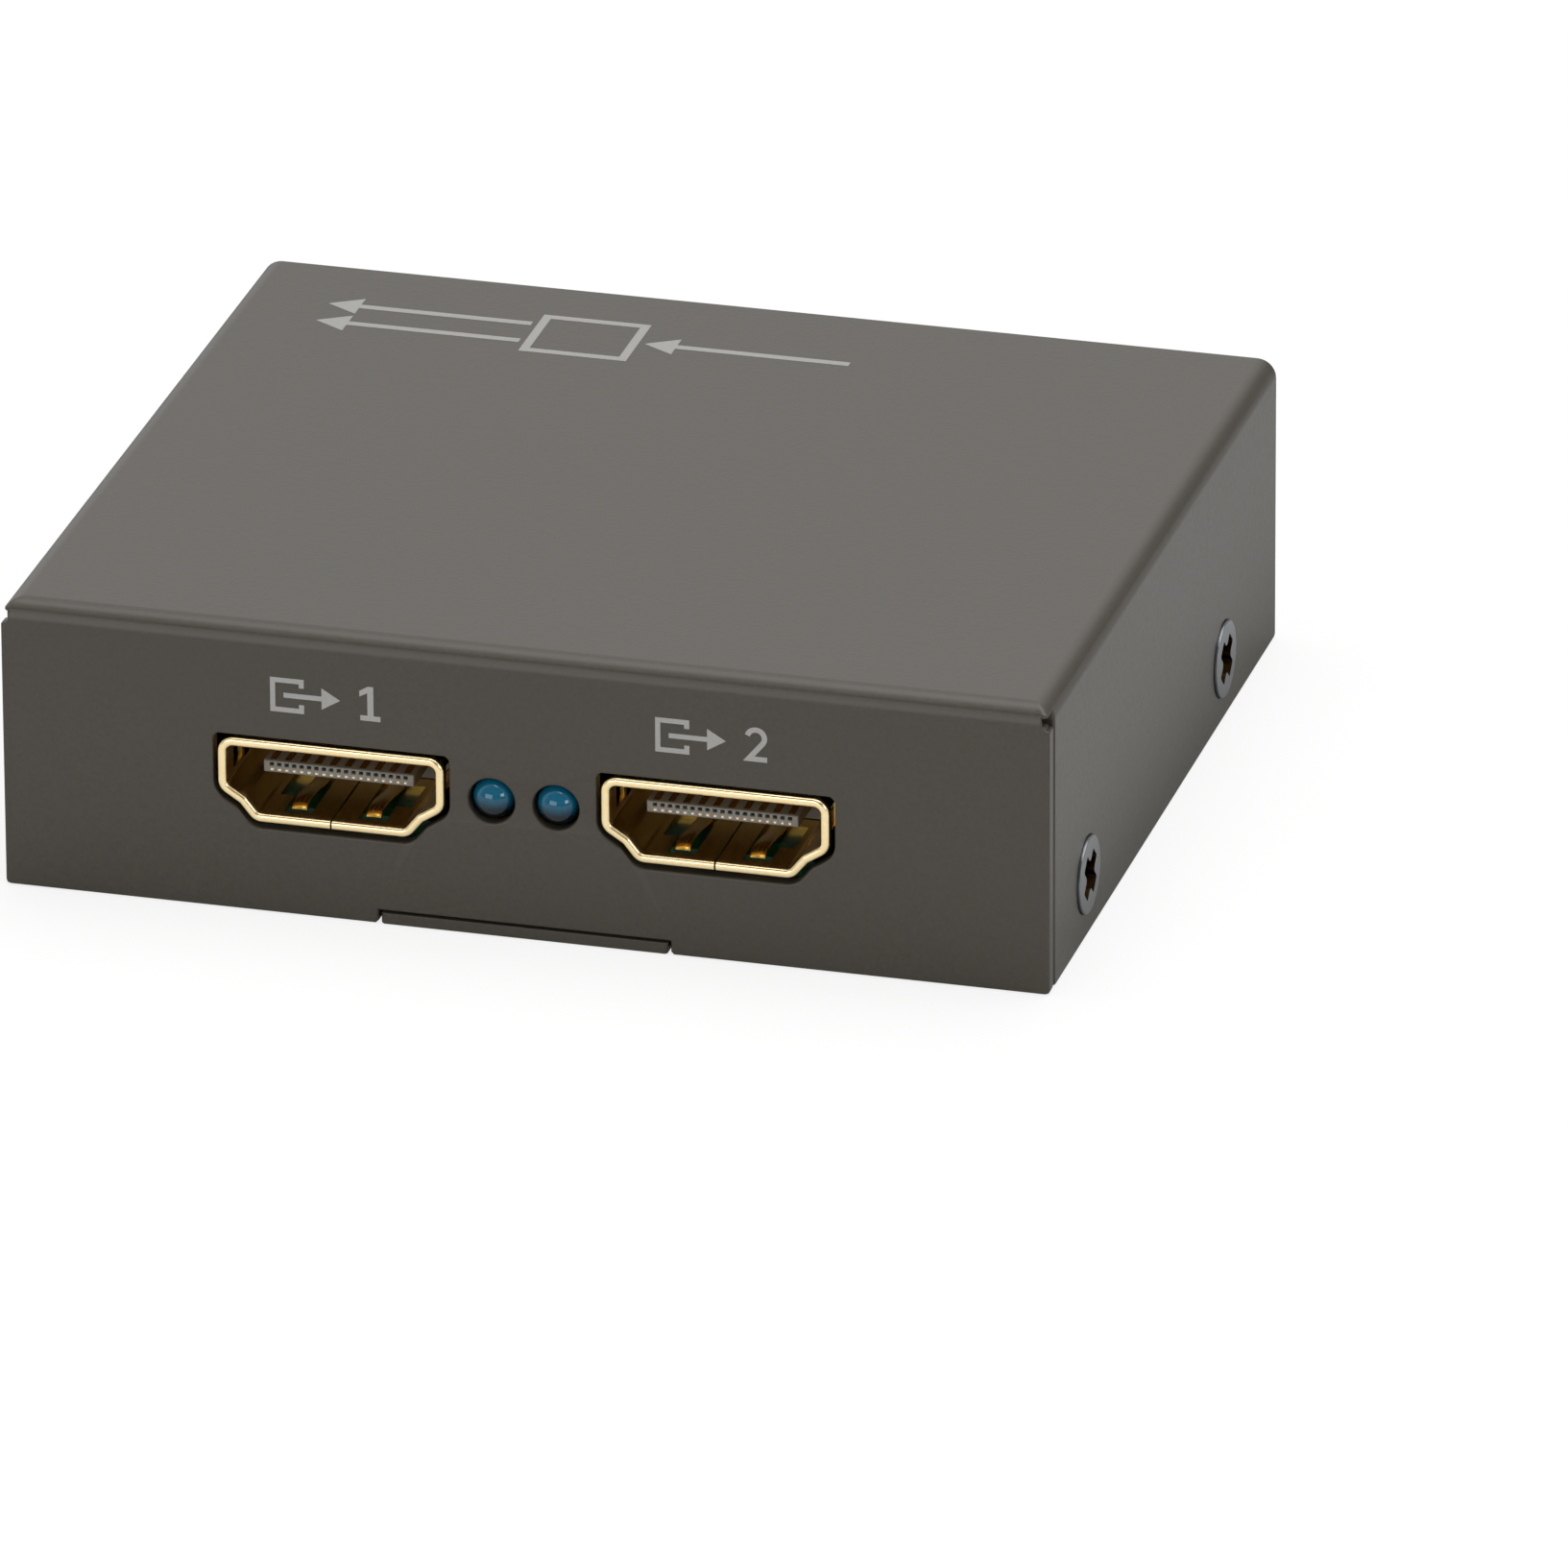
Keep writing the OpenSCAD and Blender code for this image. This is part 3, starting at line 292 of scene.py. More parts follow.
def ease_edges(width_mm, *nodes):
    """Rounds the sharp edges of parts of the frame with modifiers, as a press or a mould leaves them."""
    for name in nodes:
        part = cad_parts[name]
        part.modifiers.new("Joined corners", "WELD").merge_threshold = JOIN
        edge = part.modifiers.new("Eased edges", "BEVEL")
        edge.width = width_mm * MM
        edge.segments = 2
        edge.limit_method = "ANGLE"
        edge.angle_limit = radians(40)
        edge.use_clamp_overlap = False
        part.modifiers.new("Smooth faces", "WEIGHTED_NORMAL").keep_sharp = True


# Powder coat is a baked plastic film: satin, with a fine grain that breaks up the light along every bend.
paint, tree, shader = new_material("powder_coated_steel", Specular_IOR_Level=0.42)
grain = noise(tree, grain_mm=0.32, detail=3)
cloud = noise(tree, grain_mm=14, detail=2)
speck = mix_colours(tree, grain, "#35312a", "#4a443b")
peel = add_node(tree, "Bump", {"Height": grain, "Strength": 0.5, "Distance": 0.02 * MM})
feed(tree, shader, {"Base Color": mix_colours(tree, cloud, speck, "#403b33"),
                    "Roughness": spread(tree, grain, 0.3, 0.42), "Normal": peel.outputs["Normal"]})
# The fold of a sheet is a quarter round.
# The corners of a sheet are given for its right half, and the left half mirrors them.
fold_turns = quarter_turn(7)
case_x_mm, case_y_mm, case_z_mm = 35, 30, 20
base_t_mm, base_fold_mm, base_x_mm, base_front_mm, base_roof_mm = 0.8, 1.2, 33.8, -28.8, 18.8
flange_h_mm, flange_end_mm, flange_slot_mm, tab_x_mm, tab_ease_mm = 8, 27, (32.2, 27.6), 9.6, 0.15
flange_cut_mm, panel_cut_mm, base_ease_mm, base_hole_ease_mm = 1, 0.5, 0.12, 0.05
screw_y_mm, screw_z_mm, thread_r_mm, collar_r_mm, collar_l_mm = (-20.2, 15.8), 4.3, 1.56, 2.3, 1.2
collar_ease_mm, collar_root_mm = 0.1, 0.15
post_x_mm, post_y_mm, post_hole_r_mm = 27.5, (-24.3, 24.5), 2.16
jack_x_mm, jack_z_mm, jack_hole_r_mm = -17, 13.15, 4.4
input_x_mm, port_z_mm = 9, 9.225


def base_mesh():
    """Base tray as one folded sheet: floor with tab, side flanges with collars, and rear panel."""
    form = bmesh.new()
    down, out, rear = Vector((0, 0, -1)), Vector((1, 0, 0)), Vector((0, 1, 0))
    flat_x, flat_y, knee_z = base_x_mm - base_fold_mm, case_y_mm - base_fold_mm, base_fold_mm
    half = []

    def edge_points(normal, *points):
        half.extend((Vector(p), Vector(p) - base_t_mm * normal, normal) for p in points)

    def side_fold(y, turns):
        for a in turns:
            normal = Vector((sin(a), 0, -cos(a)))
            edge_points(normal, Vector((flat_x, y, knee_z)) + base_fold_mm * normal)

    edge_points(down, (tab_x_mm - tab_ease_mm, -case_y_mm, 0), (tab_x_mm, tab_ease_mm - case_y_mm, 0),
                (tab_x_mm, base_front_mm, 0))
    side_fold(base_front_mm, fold_turns)
    front_fold = len(half)
    cut_z = flange_h_mm - flange_cut_mm
    edge_points(out, (base_x_mm, base_front_mm, cut_z),
                (base_x_mm, base_front_mm + flange_cut_mm, flange_h_mm),
                (base_x_mm, flange_end_mm - flange_cut_mm, flange_h_mm), (base_x_mm, flange_end_mm, cut_z))
    end_fold = len(half)
    side_fold(flange_end_mm, reversed(fold_turns))
    slot_x, slot_y = flange_slot_mm
    edge_points(down, (slot_x, flange_end_mm, 0), (slot_x, slot_y, 0), (base_x_mm, slot_y, 0))
    rear_fold = len(half)
    for a in fold_turns:
        normal = Vector((0, sin(a), -cos(a)))
        edge_points(normal, Vector((base_x_mm, flat_y, knee_z)) + base_fold_mm * normal)
    edge_points(rear, (base_x_mm, case_y_mm, base_roof_mm - panel_cut_mm),
                (base_x_mm - panel_cut_mm, case_y_mm, base_roof_mm))

    rim = mirrored(half) + half[::-1]
    holes = base_holes(form)
    steps = len(fold_turns)
    for face, row in enumerate(cut_edge(form, rim, base_t_mm, base_ease_mm)):
        left, right = row[:len(half)], row[len(half):][::-1]
        for edge in (left, right):
            stitch(form, edge[front_fold - steps:front_fold], edge[end_fold:end_fold + steps][::-1])
        stitch(form, left[rear_fold:rear_fold + steps], right[rear_fold:rear_fold + steps])
        floor = left[:front_fold - steps + 1] + left[end_fold + steps - 1:rear_fold + 1]
        floor += right[rear_fold:end_fold + steps - 2:-1] + right[front_fold - steps::-1]
        wall = left[rear_fold + steps - 1:] + right[:rear_fold + steps - 2:-1]
        for key, normal, outline in (("floor", down, floor), ("rear", rear, wall),
                                     ("left", -out, left[front_fold - 1:end_fold + 1]),
                                     ("right", out, right[front_fold - 1:end_fold + 1])):
            fill_face(form, normal, outline, *[hole[face] for hole in holes[key]])
    bmesh.ops.remove_doubles(form, verts=form.verts, dist=JOIN)
    return form


def base_holes(form):
    """Cut edges of the base's holes, by the face that they are in."""
    rear = Vector((0, 1, 0))
    holes = {"floor": [], "left": [], "right": [], "rear": []}
    for x in (-post_x_mm, post_x_mm):
        for y in post_y_mm:
            rim = round_rim(Vector((x, y, 0)), Vector((0, 0, -1)), base_t_mm, post_hole_r_mm)
            holes["floor"].append(cut_edge(form, rim, base_t_mm, base_hole_ease_mm))
    collar = [(thread_r_mm, 0), (thread_r_mm, collar_l_mm), (collar_r_mm - collar_ease_mm, collar_l_mm),
              (collar_r_mm, collar_l_mm - collar_ease_mm), (collar_r_mm + collar_root_mm, 0),
              (thread_r_mm, 0)]
    for key, x in (("left", -1), ("right", 1)):
        for y in screw_y_mm:
            middle = Vector((x * base_x_mm, y, screw_z_mm))
            rim = round_rim(middle, Vector((x, 0, 0)), base_t_mm, thread_r_mm)
            holes[key].append(cut_edge(form, rim, base_t_mm, base_hole_ease_mm))
            inside = Matrix.Translation((middle - Vector((x * base_t_mm, 0, 0))) * MM)
            turned(form, collar, inside @ Matrix.Rotation(-x * pi / 2, 4, "Y") @ Matrix.Scale(MM, 4), 48)
    port = port_rim(Vector((input_x_mm, case_y_mm, port_z_mm)), rear, base_t_mm)
    nose = round_rim(Vector((jack_x_mm, case_y_mm, jack_z_mm)), rear, base_t_mm, jack_hole_r_mm)
    holes["rear"] = [cut_edge(form, rim, base_t_mm, base_ease_mm) for rim in (port, nose)]
    return holes


add_piece("base_sheet", base_mesh(), paint, "case_paint", "base_tray", weight=100)

# Posts and screws that carry the board: turned steel posts pressed into the base, and four pan-head screws.
# Both are nickel plated, which leaves a soft grey shine with fine tool marks.
tool_mark_mm = 0.15
plated = mottled("nickel_plated_steel", "#787b7e", "#8c8f92", grain_mm=tool_mark_mm, detail=4,
                 rough=(0.2, 0.42), Metallic=1)
dress(plated, "board_standoffs", "board_screws")
ease_edges(0.1, "board_standoffs", "board_screws")

# Circuit board: 1.6 mm glass-fibre laminate under green solder mask, drilled for every solder leg.
# The mask is a glossy lacquer that shows the copper tracks below it as paler lines.
track_mm = 1.3
mask, tree, shader = new_material("solder_mask_on_laminate", Roughness=0.28)
track = add_node(tree, "TexVoronoi", {"Vector": place_on(tree), "Scale": 1 / (track_mm * MM)},
                 distance="MANHATTAN", feature="F1")
over = spread(tree, track.outputs["Distance"], 0, 1, 0.3, 0.34)
raised = add_node(tree, "Bump", {"Height": over, "Strength": 0.4, "Distance": 0.03 * MM}, invert=True)
feed(tree, shader, {"Base Color": mix_colours(tree, over, "#1d6b45", "#124a30"),
                    "Normal": raised.outputs["Normal"]})
dress(mask, "main_board")

# Parts on the board: moulded chips, the coil, the cans, the crystal and the small ceramic parts.
# They are soldered in place, and their leads are bare tinned metal.
resin = mottled("moulded_epoxy_resin", "#1a1a1b", "#2c2c2e", grain_mm=0.12, detail=2, rough=(0.55, 0.75))
tinned = mottled("tinned_metal", "#a9a9a6", "#cfcfcb", grain_mm=0.4, detail=3, rough=(0.22, 0.4), Metallic=1)
aluminium = mottled("bare_aluminium", "#9fa2a5", "#c3c6c8", grain_mm=0.25, detail=3, rough=(0.28, 0.48),
                    stretch=(1, 0.02, 0.02), Metallic=1)
dress(resin, "splitter_chip", "voltage_regulator", "memory_chip", "esd_arrays")
dress(tinned, "splitter_chip_leads", "clock_crystal", "output_1_led_leads", "output_2_led_leads")
dress(aluminium, "heat_sink", "bulk_capacitors")
for name, dark, pale, rough, node in (
        ("silicone_thermal_pad", "#7fa0b5", "#9cbccf", 0.7, "thermal_pad"),
        ("pressed_ferrite", "#2c2a28", "#43403c", 0.65, "power_inductor"),
        ("fuse_lacquer", "#4a5a2a", "#5f7136", 0.45, "power_fuse"),
        ("fired_tan_ceramic", "#8f7150", "#ad8c66", 0.5, "ceramic_capacitors"),
        ("glazed_dark_ceramic", "#1e2022", "#33373a", 0.3, "chip_resistors")):
    dress(mottled(name, dark, pale, grain_mm=0.3, detail=3, Roughness=rough), node)
ease_edges(0.06, "splitter_chip", "heat_sink", "voltage_regulator", "power_inductor", "clock_crystal",
           "memory_chip")

# Socket shells: stamped sheet rolled into a tube with a lip round its mouth and a seam in its floor.
# Two spring fingers are cut from the floor and pressed up, and four legs are soldered into the board.
# The shell is gold plated, which is bright where it is smooth and brown where it sees only itself; its lip is
# also painted paler than its inside, as a painted highlight on the lip and painted shade inside.
shell_t_mm, shell_l_mm = 0.3, 11.5
lip_l_mm, lip_roll_mm, lip_ease_mm, lip_root_mm = 0.7, 0.24, 0.1, 0.05
finger_x_mm, finger_w_mm, finger_slit_mm, finger_t_mm = 2.5, 1.05, 0.4, 0.2
finger_tip_mm, finger_crown_mm, finger_root_mm, finger_rise_mm = 1.3, 2.35, 6.9, 0.5
finger_turn, finger_drop, rise_steps, crown_steps = radians(70), 0.6, 12, 5
slot_mm = port_floor_marks_mm[1:3]
window_mm = (finger_root_mm / 2, port_floor_marks_mm[3])
side_slot_mm = (port_side_marks_mm, (1.7, 3.6))
tail_room_mm = 8.5
leg_depths_mm, leg_w_mm, leg_low_mm, leg_high_mm = (4.6, 9.6), 1, -4.975, 0.925
wall_margin_mm = 0.1


def is_open(x, z, depth):
    """Whether the shell's sheet is cut away at a point, in mm."""
    x = abs(x)
    if z < wall_margin_mm - port_h_mm / 2:
        slot = slot_mm[0] < x < slot_mm[1] and finger_tip_mm - finger_slit_mm < depth < finger_root_mm
        window = slot_mm[1] < x < window_mm[1] and window_mm[0] < depth < finger_root_mm
        return slot or window or (x < window_mm[1] and depth > tail_room_mm)
    low, high = side_slot_mm
    return x > port_w_mm / 2 - wall_margin_mm and low[0] < z < low[1] and high[0] < depth < high[1]


def strip(form, place, centre, half_w, half_t):
    """Bent flat strip with eased edges along centre, a list of (depth, height) points in mm."""
    ease = half_t / 2
    section = [(ease - half_w, -half_t), (half_w - ease, -half_t), (half_w, ease - half_t),
               (half_w, half_t - ease)]
    section += [(-x, -t) for x, t in section]
    rings = []
    for i, (depth, height) in enumerate(centre):
        before, after = Vector(centre[max(i - 1, 0)]), Vector(centre[min(i + 1, len(centre) - 1)])
        along = (after - before).normalized()
        points = [(x, depth - along.y * t, height + along.x * t) for x, t in section]
        rings.append(add_corners(form, place, points))
    stitch(form, *rounds(rings))
    form.faces.new(rings[0])
    form.faces.new(rings[-1])


def socket_shell(name, place):
    """Shell of one socket, whose mouth is at the origin of place and whose tube runs along its Y."""
    form = bmesh.new()

    def ring(grow, depth):
        loop = port_loop(grow, port_corner_r_mm + grow)
        return add_corners(form, place, [(p.x, depth, p.y) for p in loop])

    rows = sorted({lip_l_mm + lip_ease_mm, finger_tip_mm - finger_slit_mm, side_slot_mm[1][0], window_mm[0],
                   side_slot_mm[1][1], finger_root_mm, tail_room_mm, shell_l_mm})
    inner = [ring(0, d) for d in rows]
    outer = [ring(shell_t_mm, d) for d in rows]
    roll = [(lip_roll_mm * (1 - cos(a)), lip_roll_mm * (1 - sin(a))) for a in quarter_turn(5)]
    lip = roll + [(port_lip_mm - depth, grow) for grow, depth in roll]
    lip += [(port_lip_mm, lip_l_mm - lip_ease_mm), (port_lip_mm - lip_ease_mm, lip_l_mm),
            (shell_t_mm, lip_l_mm + lip_root_mm)]
    rolled = [inner[0]] + [ring(*p) for p in lip] + [outer[0]]
    last = len(inner[0]) - 1
    stitch(form, *rolled)
    form.faces.new([r[0] for r in rolled])
    form.faces.new([r[last] for r in rolled])

    loop = port_loop(0, port_corner_r_mm)
    cut = {}
    for j in range(len(rows) - 1):
        for i in range(last):
            middle = (loop[i] + loop[i + 1]) / 2
            cut[i, j] = is_open(middle.x, middle.y, (rows[j] + rows[j + 1]) / 2)
    for (i, j), gone in cut.items():
        if gone:
            continue
        form.faces.new((inner[j][i], inner[j][i + 1], inner[j + 1][i + 1], inner[j + 1][i]))
        form.faces.new((outer[j][i], outer[j][i + 1], outer[j + 1][i + 1], outer[j + 1][i]))
        for near, a, b in (((i - 1, j), (j, i), (j + 1, i)), ((i + 1, j), (j, i + 1), (j + 1, i + 1)),
                           ((i, j - 1), (j, i), (j, i + 1)), ((i, j + 1), (j + 1, i), (j + 1, i + 1))):
            if cut.get(near, near[1] >= 0):
                form.faces.new((inner[a[0]][a[1]], inner[b[0]][b[1]], outer[b[0]][b[1]], outer[a[0]][a[1]]))

    floor = -port_h_mm / 2
    for side in (-1, 1):
        bend = Matrix.Translation((side * finger_x_mm, 0, floor))
        centre = [(finger_root_mm + finger_slit_mm, -finger_t_mm / 2)]
        for i in range(rise_steps + 1):
            share = i / rise_steps
            depth = finger_root_mm + (finger_crown_mm - finger_root_mm) * share
            lift = share * share * (3 - 2 * share)
            centre.append((depth, -finger_t_mm / 2 + finger_rise_mm * lift))
        for i in range(1, crown_steps + 1):
            turn = finger_turn * i / crown_steps
            fall = finger_crown_mm - finger_tip_mm
            centre.append((finger_crown_mm - fall * sin(turn),
                           finger_rise_mm - finger_t_mm / 2 - finger_drop * fall * (1 - cos(turn))))
        strip(form, place @ bend, centre, finger_w_mm / 2, finger_t_mm / 2)
        for depth in leg_depths_mm:
            middle = ((port_w_mm + shell_t_mm) / 2 * side, depth, (leg_low_mm + leg_high_mm) / 2)
            size = Matrix.Diagonal((shell_t_mm, leg_w_mm, leg_high_mm - leg_low_mm, 1))
            bmesh.ops.create_cube(form, size=1, matrix=place @ Matrix.Translation(middle) @ size)
    bmesh.ops.delete(form, geom=[v for v in form.verts if not v.link_faces], context="VERTS")
    return add_piece(name + "_stamping", form, gold, "gold_plate", name, smooth=50)


# The lip is painted paler than the inside, a painted highlight on the lip and painted shade inside, and the
# two meet between these distances from the middle of the case.
scratch_mm, painted_shade_inside_y_mm, painted_highlight_lip_y_mm = 0.2, 29.5, 29.9
gold, tree, shader = new_material("gold_plated_sheet", Metallic=1)
scratch = noise(tree, scratch_mm, detail=4, stretch=(1, 0.15, 1))
along = add_node(tree, "SeparateXYZ", {"Vector": place_on(tree)}).outputs["Y"]
lip = spread(tree, combine(tree, "ABSOLUTE", along), 0, 1, painted_shade_inside_y_mm * MM, painted_highlight_lip_y_mm * MM)
# Painted shade inside and painted highlight on the lip: a darker and a paler copy of the same gold.
inner = mix_colours(tree, scratch, "#d9aa45", "#edc468")
outer = mix_colours(tree, scratch, "#fbdb98", "#fff1cb")
feed(tree, shader, {"Base Color": mix_colours(tree, lip, inner, outer),
                    "Roughness": spread(tree, scratch, 0.14, 0.3)})

sockets = {}
for name in ("output_1", "output_2", "input"):
    low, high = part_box(name + "_shell")
    faces_rear = name == "input"
    mouth_y = high.y if faces_rear else low.y
    middle_z = high.z - (port_lip_mm + port_h_mm / 2) * MM
    turn = Matrix.Rotation(pi, 4, "Z") if faces_rear else Matrix.Identity(4)
    sockets[name] = Matrix.Translation(((low.x + high.x) / 2, mouth_y, middle_z)) @ turn @ Matrix.Scale(MM, 4)
    socket_shell(name + "_shell", sockets[name])

# Socket inserts: a block across the rear of each shell with a thin tongue, moulded in grey plastic.
# The contacts are stamped strips that lie in grooves above and below the tongue and run down to the board,
# and the tongue's nose shows a pocket above and the tapered end of a strip below at each of the 19 places.
fibre_mm = 0.1
insert = mottled("glass_filled_plastic", "#6b6964", "#84827c", grain_mm=fibre_mm, detail=2, Roughness=0.5)
# The contact tips are given a paler metal than the gold strips behind them.
pale_tip_metal = mottled("pale_contact_tip_metal", "#e6e0d2", "#f8f4ea", grain_mm=fibre_mm, detail=3,
                rough=(0.18, 0.34), Metallic=1)
tongue_ease_mm, pocket_taper_mm, strip_gap_mm = 0.06, 0.03, 0.03
tongue_x_mm, tongue_low_mm, tongue_top_mm, tongue_front_mm, nose_mm = 5.05, -0.1, 0.7, 1.95, 0.3
block_front_mm, block_back_mm, block_gap_mm, riser_mm = 8.2, 10.6, 0.05, 10.63
contact_n, contact_pitch_mm, contact_w_mm, contact_t_mm, tail_w_mm = 19, 0.5, 0.4, 0.15, 0.28
groove_w_mm, groove_t_mm, foot_l_mm, foot_z_mm = 0.46, 0.18, 0.9, -2.575
pocket_mm, pocket_l_mm = (-0.15, 0.35, 0.15, 0.6), 0.6
stud_mm, stud_l_mm = (-0.12, 0.02, 0.12, 0.22), 0.05
contact_x_mm = [(i - (contact_n - 1) / 2) * contact_pitch_mm for i in range(contact_n)]


def upright(form, place, x, size, depth, shrink=0):
    """Closed row of corners of an upright rectangle (left, low, right, high) about x, at a depth in mm."""
    left, low, right, high = size
    corners = ((left + shrink, low + shrink), (right - shrink, low + shrink), (right - shrink, high - shrink),
               (left + shrink, high - shrink))
    row = add_corners(form, place, [(x + a, depth, b) for a, b in corners])
    return row + row[:1]


def bar(form, place, x, size, front, back, nose=0):
    """Adds a bar along the depth, with an upright rectangle for its section and a nose that tapers."""
    rows = [upright(form, place, x, size, front, nose)]
    if nose:
        rows.append(upright(form, place, x, size, front + nose))
    rows.append(upright(form, place, x, size, back))
    stitch(form, *rows)
    form.faces.new(rows[0][:4])
    form.faces.new(rows[-1][:4])


def tongue_row(form, place, depth, sink, shrink=0):
    """Closed row of corners round the tongue, which dips by sink at every groove."""
    row = []
    for xs, z, turn in ((contact_x_mm[1::2], tongue_low_mm, 1), (contact_x_mm[::-2], tongue_top_mm, -1)):
        z += turn * shrink
        points = [(turn * (shrink - tongue_x_mm), z)]
        for x in xs:
            points += [(x - turn * groove_w_mm / 2, z), (x - turn * groove_w_mm / 2, z + turn * sink),
                       (x + turn * groove_w_mm / 2, z + turn * sink), (x + turn * groove_w_mm / 2, z)]
        points.append((turn * (tongue_x_mm - shrink), z))
        corners = {p: form.verts.new(place @ Vector((p[0], depth, p[1]))) for p in dict.fromkeys(points)}
        row += [corners[p] for p in points]
    return row + row[:1]


def socket_insert(name, place):
    """Insert of one socket, with its contacts."""
    form = bmesh.new()
    into = place.to_3x3() @ Vector((0, 1, 0))
    nose_end = tongue_front_mm + nose_mm
    rows = [tongue_row(form, place, tongue_front_mm, 0, tongue_ease_mm)]
    for depth, sink in ((tongue_front_mm + tongue_ease_mm, 0), (nose_end, 0), (nose_end, groove_t_mm),
                        (block_front_mm, groove_t_mm)):
        rows.append(tongue_row(form, place, depth, sink))
    stitch(form, *rows)
    pockets = []
    for x in contact_x_mm:
        mouth = upright(form, place, x, pocket_mm, tongue_front_mm)
        floor = upright(form, place, x, pocket_mm, tongue_front_mm + pocket_l_mm, pocket_taper_mm)
        stitch(form, mouth, floor)
        form.faces.new(floor[:4])
        pockets.append(mouth)
    fill_face(form, -into, rows[0], *pockets)
    loop = port_loop(-block_gap_mm, port_corner_r_mm)
    ends = [add_corners(form, place, [(p.x, depth, p.y) for p in loop])
            for depth in (block_front_mm, block_back_mm)]
    stitch(form, *rounds(ends))
    fill_face(form, -into, ends[0], rows[-1])
    form.faces.new(ends[1])
    bmesh.ops.remove_doubles(form, verts=form.verts, dist=FINE_JOIN)
    add_piece(name + "_insert", form, insert, "socket_plastic", name + "_insulator")

    form = bmesh.new()
    half = contact_w_mm / 2
    tips = bmesh.new()
    for i, x in enumerate(contact_x_mm):
        low = tongue_low_mm if i % 2 else tongue_top_mm - contact_t_mm
        top = low + contact_t_mm
        bar(form, place, x, (-half, low, half, top), nose_end + strip_gap_mm, block_front_mm)
        bar(tips, place, x, stud_mm, tongue_front_mm - stud_l_mm, tongue_front_mm + stud_l_mm, stud_l_mm)
        inner_y, foot_top, foot_end = riser_mm + contact_t_mm, foot_z_mm + contact_t_mm, riser_mm + foot_l_mm
        bent = ((riser_mm, top), (riser_mm, foot_z_mm), (foot_end, foot_z_mm), (foot_end, foot_top),
                (inner_y, foot_top), (inner_y, top))
        sides = [add_corners(form, place, [(x + across, depth, z) for depth, z in bent])
                 for across in (-tail_w_mm / 2, tail_w_mm / 2)]
        stitch(form, *rounds(sides))
        for side in sides:
            form.faces.new(side)
    add_piece(name + "_contact_strips", form, gold, "gold_plate", name + "_contacts")
    add_piece(name + "_contact_tips", tips, pale_tip_metal, "gold_plate")


for name, place in sockets.items():
    socket_insert(name, place)

# Lamps: two 3 mm blue lamps, cast in tinted epoxy, whose domes look out of holes in the front.
# The epoxy is as glossy as glass; its colour is painted teal in its upper half and near black in its lower
# half, as painted light from above and painted shade below.
lamp_r_mm, lamp_foot_r_mm, lamp_foot_mm, lamp_l_mm, lamp_ease_mm = 1.45, 1.9, 1, 4.5, 0.1
epoxy, tree, shader = new_material(
    "tinted_epoxy", Roughness=0.05, IOR=1.54, Specular_IOR_Level=0.38, Subsurface_Weight=0.15,
    Subsurface_Scale=0.4 * MM, Subsurface_Radius=(0.2, 0.7, 1), Coat_Weight=0.1, Coat_Roughness=0.03)
# Painted light and shade: the colour runs from near black where the surface faces down to teal where it faces
# up.
facing = add_node(tree, "SeparateXYZ", {"Vector": add_node(tree, "TexCoord", {}).outputs["Normal"]})
painted_upper_light = spread(tree, facing.outputs["Z"], 0, 1, -0.5, 0.45, interpolation_type="SMOOTHSTEP")
feed(tree, shader, {"Base Color": mix_colours(tree, painted_upper_light, "#040b12", "#0b5d79")})
lamp_profile = [(0, 0), (lamp_foot_r_mm - lamp_ease_mm, 0), (lamp_foot_r_mm, lamp_ease_mm),
                (lamp_foot_r_mm, lamp_foot_mm - lamp_ease_mm), (lamp_foot_r_mm - lamp_ease_mm, lamp_foot_mm),
                (lamp_r_mm, lamp_foot_mm)]
lamp_profile += [(lamp_r_mm * cos(a), lamp_l_mm - lamp_r_mm * (1 - sin(a)))
                 for a in quarter_turn(16)[:-1]]
lamp_profile.append((0, lamp_l_mm))
for name in ("output_1_led", "output_2_led"):
    low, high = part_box(name)
    out = Matrix.Translation(((low.x + high.x) / 2, high.y, (low.z + high.z) / 2))
    form = bmesh.new()
    turned(form, lamp_profile, out @ Matrix.Rotation(pi / 2, 4, "X") @ Matrix.Scale(MM, 4))
    add_piece(name + "_dome", form, epoxy, "blue_epoxy", name)

# Power inlet: a moulded black block with a round nose in the rear panel, a plated pin in the middle of its
# bore, and a leaf spring below the bore that presses on the plug. Three terminals solder it to the board.
nylon = mottled("moulded_black_nylon", "#151514", "#201f1e", grain_mm=0.5, detail=3, rough=(0.35, 0.5))
dress(nylon, "power_jack_housing")
ease_edges(0.15, "power_jack_housing")
dress(tinned, "power_jack_pin", "power_jack_spring", "power_jack_spring_terminal",
      "power_jack_switch_contact")

# Cover: the top, front and both sides, folded from one sheet of 1 mm steel and powder coated like the base.
# It slides on from the front, and its edges are slightly rounded by the coat.
ink_t_mm = 0.012
cover_t_mm, cover_fold_mm, cover_ease_mm, mitre_r_mm = 1, 1.3, 0.2, 0.4
cover_top_mm, cover_slit_mm, relief_mm, relief_step = case_z_mm - ink_t_mm, -28.6, 0.25, 5
notch_x_mm, notch_z_mm, notch_ease_mm = 9.8, 0.95, 0.2
foot_round_mm, foot_mid_mm, relief_ease_mm, relief_round_mm = 0.3, 0.08, 0.1, 0.15
cover_hole_ease_mm, sink_ease_mm, same_mm = 0.16, 0.1, 1e-6
sink_front_r_mm, sink_back_r_mm = 2.66, 1.66
lamp_x_mm, lamp_z_mm, lamp_hole_r_mm = (-2.1, 2.2), 9.5, 1.55
port_x_mm = 12.85


